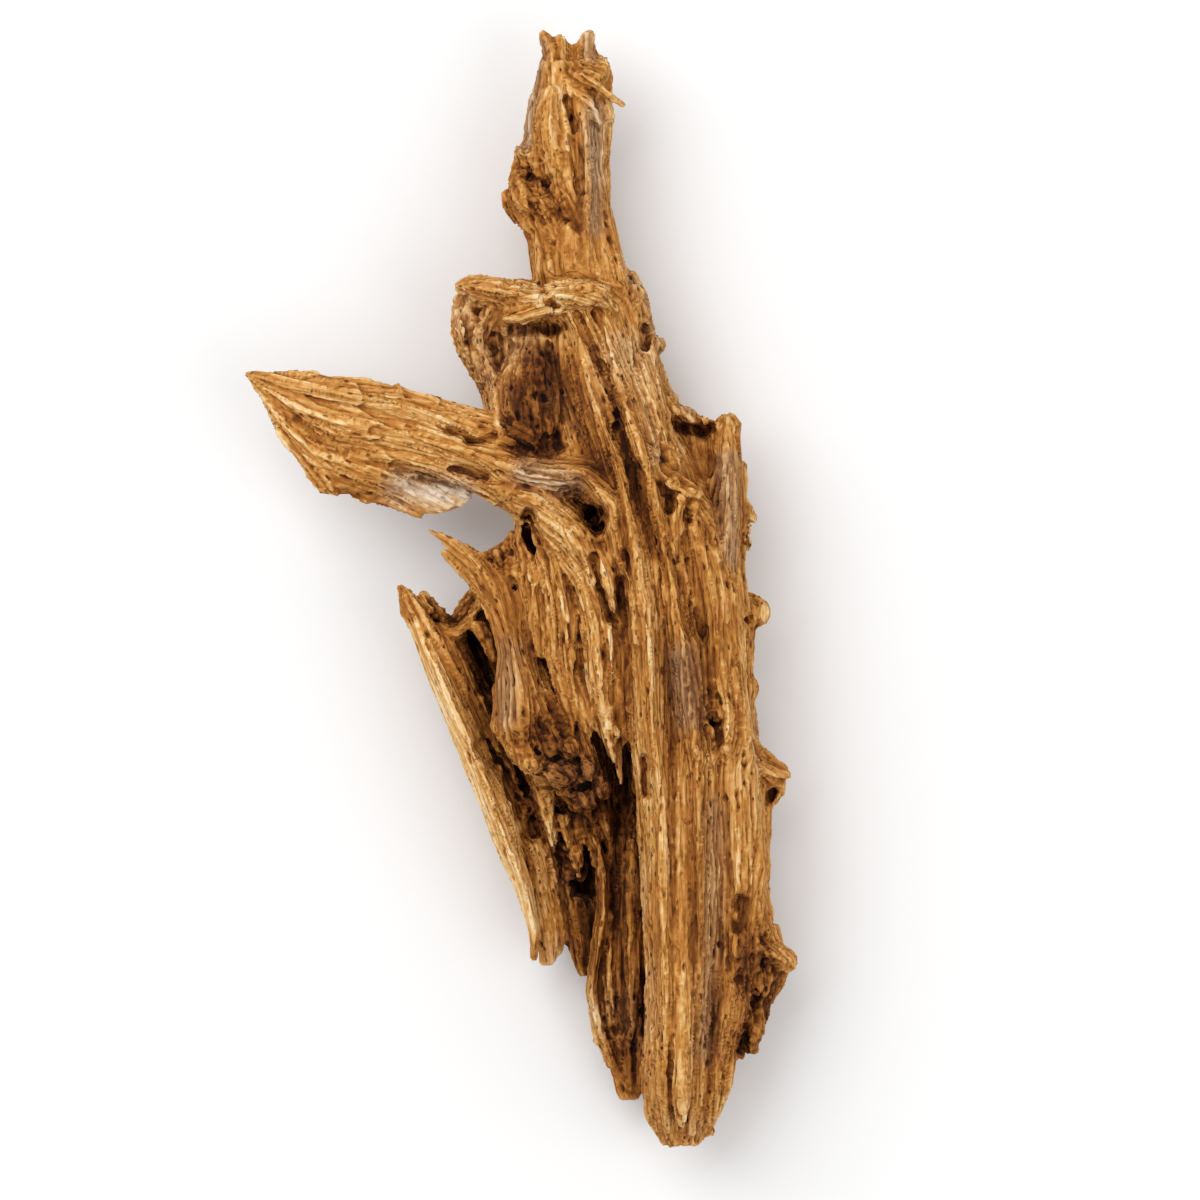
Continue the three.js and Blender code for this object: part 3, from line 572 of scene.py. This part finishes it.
class Grain:
    """The grain lines as close samples: where each one is, its direction and two sideways directions."""

    def __init__(self, lines):
        places, ways, lengths, owners = [], [], [], []
        for number, line in enumerate(lines):
            corners = np.array(line, dtype=float)
            steps = np.linalg.norm(np.diff(corners, axis=0), axis=1)
            reach = np.concatenate([[0], np.cumsum(steps)])
            count = max(3, int(reach[-1] / GRAIN_STEP) + 1)
            along = np.linspace(0, reach[-1], count)
            place = np.stack([np.interp(along, reach, corners[:, axis]) for axis in range(3)], axis=1)
            for _ in range(4):
                place[1:-1] = (place[:-2] + 2 * place[1:-1] + place[2:]) / 4
            way = np.gradient(place, axis=0)
            places.append(place)
            ways.append(way / np.linalg.norm(way, axis=1)[:, None])
            lengths.append(along)
            owners.append(np.full(count, number))
        self.place = np.concatenate(places)
        self.way = np.concatenate(ways)
        self.length = np.concatenate(lengths)
        self.owner = np.concatenate(owners)
        side = np.cross((0, 0, 1), self.way)
        self.side = side / np.linalg.norm(side, axis=1)[:, None]
        self.top = np.cross(self.way, self.side)
        self.tree = tree_of(self.place)

    def direction(self, points):
        """The direction of the fibres at each point."""
        near = [self.tree.find_n(point, 6) for point in points]
        chosen = np.array([[found[1] for found in some] for some in near])
        away = np.array([[found[2] for found in some] for some in near])
        weight = np.exp(-((away - away.min(axis=1)[:, None]) / 3.0)) + 1e-6
        way = (self.way[chosen] * weight[:, :, None]).sum(axis=1)
        return way / np.linalg.norm(way, axis=1)[:, None]

    def nearest(self, points):
        return np.array([self.tree.find(point)[1] for point in points])

    def place_in_bundle(self, points, sample):
        """Where each point lies in its bundle of fibres: two sideways distances and the distance along."""
        owner = self.owner[sample]
        step = ((points - self.place[sample]) * self.way[sample]).sum(axis=1) / GRAIN_STEP
        starts = np.searchsorted(self.owner, owner, side="left")
        ends = np.searchsorted(self.owner, owner, side="right") - 1
        spot = np.clip(sample + step, starts, ends)
        low = np.minimum(spot.astype(int), ends - 1)
        part = (spot - low)[:, None]

        def between(values):
            return values[low] * (1 - part) + values[low + 1] * part

        away = points - between(self.place)
        across = (away * between(self.side)).sum(axis=1) + BUNDLE_GAP[0] * owner
        above = (away * between(self.top)).sum(axis=1) + BUNDLE_GAP[1] * owner
        along = between(self.length[:, None])[:, 0] + (away * between(self.way)).sum(axis=1)
        return np.stack([across, above, along], axis=1)


def tree_of(points):
    tree = kdtree.KDTree(len(points))
    for number, point in enumerate(points):
        tree.insert(point, number)
    tree.balance()
    return tree


grain = Grain(GRAIN_LINES)


# ---- Weather: water, sand and beetles have worn the soft wood away between the fibres ----
# Every mark follows the grain: ribs and splits, scales that lift towards their broken ends, beetle holes.

GNARLED = [
    ([(-20, 148, 60), (-28, 130, 56), (-20, 108, 50)], 20),
    ([(-5, 146, 74), (20, 146, 76), (40, 142, 66)], 15),
    ([(-2, 214, 50), (4, 204, 55), (16, 194, 60)], 20),
    ([(2, -76, 60), (20, -88, 60), (32, -104, 54)], 24),
    ([(110, -180, 50), (120, -195, 44), (114, -226, 34)], 24),
    ([(108, 35, 48), (116, 22, 44)], 14),
    ([(58, 146, 48), (66, 118, 48), (76, 92, 50)], 12),
    ([(84, 88, 52), (104, 82, 56)], 12),
    ([(-44, -12, 42), (-26, -10, 42), (-8, 16, 50)], 14),
    ([(84, 48, 80), (78, 30, 76)], 10),
    ([(92, -58, 74), (96, -76, 72)], 16),
    ([(30, 258, 58), (42, 248, 58)], 8),
    ([(12, -100, 30), (28, -140, 26)], 20),
]
SMOOTH_WOOD = [
    ([(24, 178, 56), (26, 156, 56)], 24),
    ([(-12, 2, 60), (-6, -20, 66), (-4, -50, 68)], 16),
    ([(-52, -24, 52), (-38, -58, 54), (-20, -98, 54), (-4, -138, 52), (5, -170, 48)], 9),
    ([(86, 74, 48), (92, 56, 48)], 18),
    ([(30, 60, 80), (50, 40, 80)], 14),
    ([(30, -86, 70), (50, -94, 64)], 10),
]
FLAKED = [
    ([(-128, 98, 60), (-90, 84, 62), (-40, 72, 68), (0, 60, 70)], 40),
    ([(10, 20, 70), (20, -20, 74), (34, -60, 70)], 26),
    ([(16, 244, 58), (14, 215, 60)], 18),
    ([(50, 110, 70), (60, 70, 72)], 24),
    ([(100, -30, 60), (106, -100, 58)], 24),
]
STRIDE = 1.9  # between two looks along a fibre
FLAKE_WIDTH = 6.5
FLAKE_LENGTH = 34
FLAKE_COUNT = 2600
HOLE_COUNT = 1100
HOLE_RADII = (0.6, 1.5)
HOLE_LENGTH = 2.2  # times as long as it is wide
BELOW_SKIN = 0.3
THICKEST = 12  # wood thicker than this is worn freely
THIN = 5  # wood thinner than this is not raised by more than THIN_RISE
THIN_RISE = 0.9
DEEPEST_SHARE = 0.3  # no mark goes deeper than this share of the thickness
BROAD_RIB = 0.38
RIB = 0.6
RIB_REST = 0.5  # lowers the ribs so that the wood keeps its thickness
SPLIT_DEPTH = 1.5
SPLIT_WIDTH = 0.3
FIBRE = 0.3
SCALE_LIFT = 0.75
SCALE_STEP = 0.8
GNARL_LUMP = 2.6
GNARL_CRUMB = 1.2
CRUMB = 0.35
HOLE_DEPTH = 1.2
FINE_ROUNDS = 5
BROAD_ROUNDS = 30
FACES_KEPT = 197000


def read_edges(piece):
    edges = np.empty(len(piece.data.edges) * 2, dtype=int)
    piece.data.edges.foreach_get("vertices", edges)
    return edges.reshape(-1, 2)


def skin_over(piece, points):
    """The faces of the piece over some points, for finding what a line meets."""
    faces = [tuple(face.vertices) for face in piece.data.polygons]
    return BVHTree.FromPolygons([Vector(point) for point in points], faces)


def drawn_out(values, onward, back, strides):
    """Values smeared along the fibres, and brought back to an average of 0 and a spread of 1."""
    total = values.copy()
    ahead, behind = onward.copy(), back.copy()
    for stride in range(1, strides):
        share = 0.5 + 0.5 * math.cos(math.pi * stride / strides)
        total += share * (values[ahead] + values[behind])
        ahead, behind = onward[ahead], back[behind]
    total -= total.mean()
    return total / total.std()


def spread(values, edges, rounds):
    """Values evened out with their neighbours' along the skin."""
    first, second = edges[:, 0], edges[:, 1]
    count = np.bincount(edges.ravel(), minlength=len(values))
    for _ in range(rounds):
        near = np.bincount(first, values[second], len(values))
        near += np.bincount(second, values[first], len(values))
        values = 0.4 * values + 0.6 * near / count
    return values


def most_of(points, places):
    """The most that any place says about each point. A place is a line, a reach and a strength."""
    amount = np.zeros(len(points))
    for line, reach, *strength in places:
        amount = np.maximum(amount, sum(strength or [1]) * near_line(points, line, reach))
    return amount


def flaked(bundle, draw):
    """How far along its scale each point is, from -1 to 1, and how high the scale lies, from 0 to 1."""
    shape = np.array([1, 1, FLAKE_WIDTH / FLAKE_LENGTH])
    middles = bundle[draw.choice(len(bundle), FLAKE_COUNT, replace=False)]
    tree = tree_of(middles * shape)
    owner = np.array([tree.find(place)[1] for place in bundle * shape])
    rise = (bundle[:, 2] - middles[owner, 2]) / FLAKE_LENGTH
    return np.clip(2 * rise, -1, 1), draw.random(FLAKE_COUNT)[owner]


def beetle_holes(bundle, draw):
    """1 in the middle of a beetle hole, and 0 outside all of them."""
    shape = np.array([1, 1, 1 / HOLE_LENGTH])
    middles = bundle[draw.choice(len(bundle), HOLE_COUNT, replace=False)]
    radius = draw.uniform(*HOLE_RADII, HOLE_COUNT)
    tree = tree_of(middles * shape)
    found = [tree.find(place)[1:] for place in bundle * shape]
    number = np.array([item[0] for item in found])
    gap = np.array([item[1] for item in found])
    return np.clip(1.5 - 1.3 * gap / radius[number], 0, 1)


points = read_points(wood)
normals = read_normals(wood)
edges = read_edges(wood)
way = grain.direction(points)
way -= normals * (way * normals).sum(axis=1)[:, None]
way /= np.maximum(np.linalg.norm(way, axis=1), 0.2)[:, None]
skin_tree = tree_of(points)
onward = np.array([skin_tree.find(point)[1] for point in points + way * STRIDE])
back = np.array([skin_tree.find(point)[1] for point in points - way * STRIDE])
skin = skin_over(wood, points)
inward = []
for point, normal in zip(points, normals):
    inward.append(skin.ray_cast(Vector(point - normal * BELOW_SKIN), Vector(-normal), THICKEST)[3])
thickness = np.array([gap or THICKEST for gap in inward])

draw = np.random.default_rng(7)
bundle = grain.place_in_bundle(points, grain.nearest(points))
rise, level = flaked(bundle, draw)
holes = beetle_holes(bundle, draw)
gnarled = most_of(points, GNARLED)
smooth = most_of(points, SMOOTH_WOOD)
scaly = np.clip(most_of(points, FLAKED) + 0.35, 0, 1) * (1 - 0.8 * smooth)
broad_ribs = drawn_out(speckle(points, grid=9.0, seed=1), onward, back, strides=20)
broad_ribs = spread(broad_ribs, edges, rounds=2)
ribs = drawn_out(speckle(points, grid=3.4, seed=2), onward, back, strides=14)
ribs = spread(ribs, edges, rounds=1)
splits = drawn_out(speckle(points, grid=6.0, seed=8), onward, back, strides=16)
fibres = drawn_out(speckle(points, grid=1.7, seed=3), onward, back, strides=9)
lumps = speckle(points, grid=7.0, seed=4) + 0.6 * speckle(points, grid=3.5, seed=5)
crumbs = speckle(points, grid=2.0, seed=6)
ribs /= ribs.std()
rough = np.clip(0.7 + 0.9 * speckle(points, grid=34, seed=7), 0.15, 1.3) * (1 - 0.75 * smooth)
split_here = np.clip(0.4 + 1.5 * speckle(points, grid=22, seed=9), 0, 1) * (1 - 0.8 * smooth)
height = (
    rough * (BROAD_RIB * np.clip(broad_ribs, -2, 2) + RIB * np.minimum(np.abs(ribs), 1.5) - RIB_REST)
    - SPLIT_DEPTH * split_here * np.clip(1 - np.abs(splits) / SPLIT_WIDTH, 0, 1)
    + FIBRE * (1 - 0.5 * smooth) * np.clip(fibres, -2, 2)
    + scaly * (SCALE_LIFT * rise + SCALE_STEP * (level - 0.5))
    + gnarled * (GNARL_LUMP * lumps + GNARL_CRUMB * crumbs)
    + CRUMB * (1 - smooth) * crumbs
    - HOLE_DEPTH * holes
)
height = np.maximum(height, -DEEPEST_SHARE * thickness)
height = np.where(thickness < THIN, np.minimum(height, THIN_RISE), height)
points += normals * height[:, None]
points[:, 2] = np.maximum(points[:, 2], 0)  # the wood lies on the ground, not in it
write_points(wood, points)

# How far each point of the fine skin lies in or out of its surroundings, before it is thinned out: painted
# shade in its creases and a painted highlight on its ridges.
normals = read_normals(wood)
even = np.stack([spread(points[:, axis], edges, FINE_ROUNDS) for axis in range(3)], axis=1)
fine_shade_and_highlight = ((points - even) * normals).sum(axis=1)
even = np.stack([spread(even[:, axis], edges, BROAD_ROUNDS) for axis in range(3)], axis=1)
broad_shade_and_highlight = ((points - even) * normals).sum(axis=1)
skin_tree = tree_of(points)

finish_with(wood, "TRIANGULATE")
finish_with(wood, "DECIMATE", ratio=FACES_KEPT / len(wood.data.polygons))


# ---- Colour: what the weather and the last breaks have done to the wood, and painted shade in its hollows ----
# Each stain is a line that it follows, how far it reaches, and its strength.

# Dark patches laid mostly along the scoops: painted shade in the hollow, the grooves, the cup of the ear,
# the knot holes and the gaps under the rim, together with the darker wood of the panel, the bulb and the
# buttress.
DARK_STAINS_AND_HOLLOW_SHADE = [
    ([(10, 112, 66), (8, 92, 72), (12, 74, 74)], 15, 2.6),
    ([(-2, 100, 70), (0, 72, 74)], 11, 2.2),
    ([(20, 108, 70), (25, 88, 74), (40, 62, 80)], 14, 1.0),
    ([(-22, -30, 30), (-8, -66, 26), (10, -104, 22), (28, -142, 20), (34, -185, 24)], 20, 1.0),
    ([(14, -74, 62), (24, -88, 60), (33, -108, 52)], 24, 1.5),
    ([(44, -86, 40), (52, -110, 34), (52, -130, 30), (52, -200, 30), (54, -245, 32)], 18, 0.95),
    ([(112, -178, 52), (120, -200, 42), (112, -230, 28)], 20, 1.1),
    ([(-23, 134, 54), (-18, 120, 50), (-16, 100, 48)], 10, 0.3),
    ([(-4, 130, 62), (18, 130, 64)], 7, 0.9),
    (
        [(46, 96, 76), (54, 66, 80), (60, 46, 80), (66, 28, 80), (74, 10, 80), (84, -14, 80), (88, -24, 80)],
        10, 0.55,
    ),
    ([(51, 20, 80), (51, -20, 76), (51, -62, 72)], 8, 0.5),
    ([(70, 74, 50), (72, 62, 50)], 7, 0.8),
    ([(80, 81, 46), (93, 79, 46)], 6, 0.8),
    ([(110, -155, 74), (109, -170, 72)], 8, 1.3),
    ([(112, -184, 66), (113, -197, 62)], 11, 1.2),
    ([(4, 34, 54), (8, 18, 56)], 9, 0.9),
    ([(-44, -14, 40), (-30, -14, 40), (-18, 4, 44), (-8, 20, 44)], 12, 0.7),
    ([(-4, 205, 44), (-4, 190, 44)], 10, 0.4),
    ([(4, 204, 54), (14, 194, 60), (24, 188, 58)], 15, 0.5),
    ([(86, -34, 84), (88, -56, 84), (94, -74, 80)], 13, 0.5),
    ([(92, -100, 80), (90, -150, 78), (92, -230, 68)], 12, 0.35),
    ([(60, 132, 46), (64, 118, 46)], 7, 0.5),
]
PALE_BREAKS = [
    ([(-53, -20, 52), (-41, -52, 54), (-24, -92, 54), (-7, -132, 52), (4, -168, 48)], 11, 1.15),
    ([(84, 76, 50), (90, 60, 50)], 17, 0.6),
    ([(8, -92, 44), (15, -128, 40)], 8, 0.8),
    ([(-130, 100, 60), (-90, 88, 64), (-40, 80, 70)], 28, 0.3),
    ([(64, -90, 84), (68, -180, 82), (70, -240, 72)], 13, 0.15),
    ([(62, 10, 88), (66, -40, 86), (72, -70, 84)], 12, 0.25),
    ([(-44, -34, 42), (-24, -76, 42), (-4, -120, 40)], 10, 0.9),
    ([(18, 250, 60), (16, 225, 62)], 14, 0.4),
    ([(20, 144, 80), (-16, 148, 70), (-28, 138, 56)], 14, 0.35),
    ([(-22, 114, 56), (-10, 122, 62), (2, 127, 66)], 8, 0.3),
    ([(-12, 110, 58), (-12, 90, 60), (-9, 66, 66)], 5, 0.5),
    ([(45, -16, 82), (46, -46, 78)], 4, 0.6),
    ([(12, 46, 80), (24, 28, 82)], 13, 0.65),
    ([(-58, 46, 54), (-30, 44, 54)], 11, 0.9),
]
GREY_PATCHES = [
    ([(36, 240, 56), (36, 180, 56)], 9, 0.9),
    ([(9, 272, 48), (5, 244, 50), (1, 222, 50)], 8, 0.9),
    ([(34, 277, 47), (35, 264, 48)], 6, 0.8),
    ([(2, 58, 74), (26, 52, 80)], 12, 0.9),
    ([(60, 90, 66), (66, 64, 70)], 8, 0.6),
    ([(103, 64, 58), (103, 15, 60)], 10, 0.9),
    ([(80, -34, 76), (84, -64, 76)], 12, 1.0),
    ([(96, -110, 70), (92, -230, 60)], 12, 0.5),
    ([(-6, -30, 72), (-8, -62, 72)], 12, 0.6),
    ([(20, -86, 64), (30, -100, 60)], 14, 0.2),
    ([(-60, 50, 56), (-30, 48, 57)], 16, 1.0),
    ([(57, 154, 46), (62, 138, 46), (84, 90, 52)], 8, 0.6),
]
STAIN_DEPTH = 0.4  # a height counts for this much against a distance across, so that a stain soaks in
MOST_STAINED = 1.3
FINE_RELIEF = 0.5
BROAD_RELIEF = 2.0
SKY_RAYS = 16
GOLDEN_TURN = 2.39996  # the turn from one ray to the next, which spreads them evenly
SKY_REACH = 45
ABOVE_SKIN = 0.4
FAR_LIGHT = 0.6  # what still comes past wood at the end of that reach


def sky_shade_to_paint(piece, points, normals):
    """How much of the sky the wood around each point keeps from it, from 0 to 1: the shade that is painted
    into the colour.
    """
    skin = skin_over(piece, points)
    sky_shade = np.zeros(len(points))
    helper = np.where(np.abs(normals[:, 2:3]) < 0.9, np.array([[0, 0, 1.0]]), np.array([[1.0, 0, 0]]))
    across = np.cross(normals, helper)
    across /= np.maximum(np.linalg.norm(across, axis=1), 1e-6)[:, None]
    beside = np.cross(normals, across)
    for ray in range(SKY_RAYS):
        turn = GOLDEN_TURN * ray
        out = math.sqrt((ray + 0.5) / SKY_RAYS)
        sideways = out * math.cos(turn) * across + out * math.sin(turn) * beside
        aim = sideways + math.sqrt(1 - out * out) * normals
        for number, (place, to) in enumerate(zip(points + normals * ABOVE_SKIN, aim)):
            gap = skin.ray_cast(place, to, SKY_REACH)[3]
            if gap is not None:
                sky_shade[number] += 1 - FAR_LIGHT * gap / SKY_REACH
    return sky_shade / SKY_RAYS


def keep_on_points(piece, name, first, second, third):
    """Keeps three values for each point of the piece, for its finish to read."""
    values = np.stack([first, second, third], axis=1)
    piece.data.attributes.new(name, "FLOAT_VECTOR", "POINT").data.foreach_set("vector", values.ravel())


points = read_points(wood)
normals = read_normals(wood)
# Painted shade where the wood around each point hides the sky from it.
painted_sky_shade = spread(sky_shade_to_paint(wood, points, normals), read_edges(wood), 1)
# Painted shade in the creases and a painted highlight on the ridges, at a fine and a broad scale.
finer = np.array([skin_tree.find(point)[1] for point in points])
fine = np.clip(fine_shade_and_highlight[finer] / FINE_RELIEF, -1, 1)
broad = np.clip(broad_shade_and_highlight[finer] / BROAD_RELIEF, -1, 1)
keep_on_points(wood, "painted_shade_and_highlight", fine, broad, painted_sky_shade)
soaked = points * (1, 1, STAIN_DEPTH)


def soaked_places(places):
    soaked_in = []
    for line, reach, strength in places:
        soaked_in.append(([(x, y, z * STAIN_DEPTH) for x, y, z in line], reach, strength))
    return soaked_in


dark, pale, grey = [
    np.minimum(most_of(soaked, soaked_places(places)), MOST_STAINED)
    for places in (DARK_STAINS_AND_HOLLOW_SHADE, PALE_BREAKS, GREY_PATCHES)
]
keep_on_points(wood, "stains_and_hollow_shade", dark, pale, grey)
keep_on_points(wood, "marks", holes[finer], level[finer] * scaly[finer], gnarled[finer])

# Where each corner of the skin lies in its bundle of fibres. All of a face's corners keep to one bundle.
mesh = wood.data
corners = np.empty(len(mesh.loops), dtype=int)
mesh.loops.foreach_get("vertex_index", corners)
sides = np.empty(len(mesh.polygons), dtype=int)
mesh.polygons.foreach_get("loop_total", sides)
centres = np.empty(len(mesh.polygons) * 3)
mesh.polygons.foreach_get("center", centres)
sample = np.repeat(grain.nearest(centres.reshape(-1, 3) / MM), sides)
fibre_place = grain.place_in_bundle(points[corners], sample)
mesh.attributes.new("fibre_place", "FLOAT_VECTOR", "CORNER").data.foreach_set("vector", fibre_place.ravel())
select_only(wood)
bpy.ops.object.shade_smooth()


# ---- Finish: dry, bare, sun-bleached wood ----
# The colour of a fibre runs from brown-black through orange to cream. Painted shade darkens it in creases,
# hollows, splits and holes and where wood hides the sky, a painted highlight lightens its ridges, dark stain
# and painted shade lie along the grooves, raised scales and newly split wood are paler, and old faces have
# gone grey.

finish = bpy.data.materials.new("weathered_wood")
finish.use_nodes = True
nodes, links = finish.node_tree.nodes, finish.node_tree.links
shader = nodes["Principled BSDF"]


def attach(value, socket):
    if isinstance(value, (int, float, tuple)):
        socket.default_value = value
    else:
        links.new(value, socket)


def maths(operation, first, second=0.0, clamp=False):
    node = nodes.new("ShaderNodeMath")
    node.operation = operation
    node.use_clamp = clamp
    attach(first, node.inputs[0])
    attach(second, node.inputs[1])
    return node.outputs[0]


def total(start, *parts):
    """A start value and some parts, each a value and its share, added up."""
    for value, share in parts:
        start = maths("ADD", start, maths("MULTIPLY", value, share))
    return start


def rescaled(value, low, high, new_low, new_high):
    node = nodes.new("ShaderNodeMapRange")
    for number, item in enumerate((value, low, high, new_low, new_high)):
        attach(item, node.inputs[number])
    return node.outputs[0]


def stretched(vector, scale):
    node = nodes.new("ShaderNodeMapping")
    attach(vector, node.inputs["Vector"])
    node.inputs["Scale"].default_value = scale
    return node.outputs[0]


def noise_on(vector, scale=1.0, detail=3.0, roughness=0.55):
    """Noise from about -1 to 1."""
    node = nodes.new("ShaderNodeTexNoise")
    attach(vector, node.inputs["Vector"])
    node.inputs["Scale"].default_value = scale
    node.inputs["Detail"].default_value = detail
    node.inputs["Roughness"].default_value = roughness
    return rescaled(node.outputs["Fac"], 0.25, 0.75, -1.0, 1.0)


def cells_on(vector, feature, output):
    node = nodes.new("ShaderNodeTexVoronoi")
    node.feature = feature
    node.inputs["Scale"].default_value = 1.0
    attach(vector, node.inputs["Vector"])
    return node.outputs[output]


def mixed(amount, first, second):
    node = nodes.new("ShaderNodeMix")
    node.data_type = "RGBA"
    attach(amount, node.inputs[0])
    attach(first, node.inputs[6])
    attach(second, node.inputs[7])
    return node.outputs[2]


def kept(name):
    node = nodes.new("ShaderNodeAttribute")
    node.attribute_name = name
    return node.outputs["Vector"]


def three_of(vector):
    node = nodes.new("ShaderNodeSeparateXYZ")
    links.new(vector, node.inputs[0])
    return node.outputs[0], node.outputs[1], node.outputs[2]


def ramp_of(value, stops):
    """A colour for each value from 0 to 1, blended between some stops."""
    node = nodes.new("ShaderNodeValToRGB")
    links.new(value, node.inputs[0])
    elements = node.color_ramp.elements
    while len(elements) < len(stops):
        elements.new(0.5)
    for element, (position, colour) in zip(elements, stops):
        element.position = position
        element.color = (*colour, 1)
    return node.outputs[0]


fine_painted_shade_and_highlight, broad_painted_shade_and_highlight, sky_shade = three_of(kept("painted_shade_and_highlight"))
dark_stain_and_hollow_shade, pale_break, grey_patch = three_of(kept("stains_and_hollow_shade"))
beetle_hole, flake_level, gnarl = three_of(kept("marks"))
fibre = kept("fibre_place")
object_place = nodes.new("ShaderNodeTexCoord").outputs["Object"]

strands = noise_on(stretched(fibre, (0.5, 0.5, 0.028)), detail=4, roughness=0.62)
hairs = noise_on(stretched(fibre, (1.5, 1.5, 0.09)), detail=2)
bands = noise_on(stretched(fibre, (0.13, 0.13, 0.011)), detail=2)
patches = noise_on(object_place, scale=30, detail=3)
clouds = noise_on(object_place, scale=13, detail=2)
speckles = noise_on(object_place, scale=330, detail=2)
curls = maths("MULTIPLY", gnarl, noise_on(object_place, scale=210, detail=3))

# narrow splits between bundles of fibres, and the many small holes of beetles, both dented and given painted
# shade
split_gap = cells_on(stretched(fibre, (0.2, 0.2, 0.024)), "DISTANCE_TO_EDGE", "Distance")
split = maths("MULTIPLY", rescaled(split_gap, 0.0, 0.09, 1.0, 0.0), rescaled(patches, -0.5, 0.6, 0.15, 1.0))
bored_gap = cells_on(stretched(fibre, (0.3, 0.3, 0.13)), "F1", "Distance")
bored = maths("MULTIPLY", rescaled(bored_gap, 0.13, 0.22, 1.0, 0.0), rescaled(clouds, -0.5, 0.5, 0.35, 1.0))

tone = total(
    0.645,
    (strands, 0.12),
    (hairs, 0.06),
    (bands, 0.13),
    (patches, 0.09),
    (clouds, 0.05),
    (speckles, 0.03),
    (curls, 0.12),
    # painted shade in the creases and a painted highlight on the ridges
    (fine_painted_shade_and_highlight, 0.15),
    (broad_painted_shade_and_highlight, 0.1),
    # painted shade where the wood hides the sky
    (rescaled(sky_shade, 0.3, 0.9, 0.0, 1.0), -0.30),
    # dark stain, with painted shade along the hollow and the grooves
    (dark_stain_and_hollow_shade, -0.3),
    (pale_break, 0.24),
    (flake_level, 0.08),
    # painted shade in the splits and the beetle holes
    (split, -0.16),
    (beetle_hole, -0.22),
)
tone = maths("MAXIMUM", maths("MINIMUM", tone, 1.0), 0.0)

WARM_TONES = [
    (0.0, (0.010, 0.002, 0.0003)),
    (0.15, (0.038, 0.009, 0.0014)),
    (0.3, (0.100, 0.028, 0.0040)),
    (0.42, (0.195, 0.062, 0.0095)),
    (0.54, (0.32, 0.114, 0.019)),
    (0.66, (0.46, 0.188, 0.037)),
    (0.78, (0.60, 0.295, 0.080)),
    (0.9, (0.74, 0.45, 0.175)),
    (1.0, (0.84, 0.61, 0.34)),
]
GREY_TONES = [
    (0.0, (0.012, 0.006, 0.003)),
    (0.3, (0.078, 0.042, 0.024)),
    (0.5, (0.19, 0.115, 0.068)),
    (0.7, (0.38, 0.255, 0.155)),
    (1.0, (0.72, 0.60, 0.48)),
]
PAINTED_HOLE_SHADE = (0.03, 0.010, 0.003, 1)
greyed = maths("MULTIPLY", grey_patch, rescaled(bands, -0.8, 0.6, 0.45, 1.0))
greyed = maths("MAXIMUM", greyed, rescaled(clouds, 0.3, 0.9, 0.0, 0.25))
colour = mixed(greyed, ramp_of(tone, WARM_TONES), ramp_of(tone, GREY_TONES))
# painted shade: the beetle holes are painted near black
colour = mixed(maths("MULTIPLY", bored, 0.85), colour, PAINTED_HOLE_SHADE)
links.new(colour, shader.inputs["Base Color"])
links.new(rescaled(tone, 0.0, 1.0, 0.95, 0.75), shader.inputs["Roughness"])
shader.inputs["Specular IOR Level"].default_value = 0.15

surface = total(
    0.0,
    (strands, 0.32),
    (hairs, 0.16),
    (split, -0.7),
    (bored, -0.8),
    (speckles, 0.08),
    (curls, 0.7),
)
BUMP_HEIGHT = 1.0
bump = nodes.new("ShaderNodeBump")
bump.inputs["Strength"].default_value = 0.9
bump.inputs["Distance"].default_value = BUMP_HEIGHT * MM
links.new(surface, bump.inputs["Height"])
links.new(bump.outputs[0], shader.inputs["Normal"])

wood.data.materials.clear()
wood.data.materials.append(finish)
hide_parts("driftwood")
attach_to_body(wood, "root")
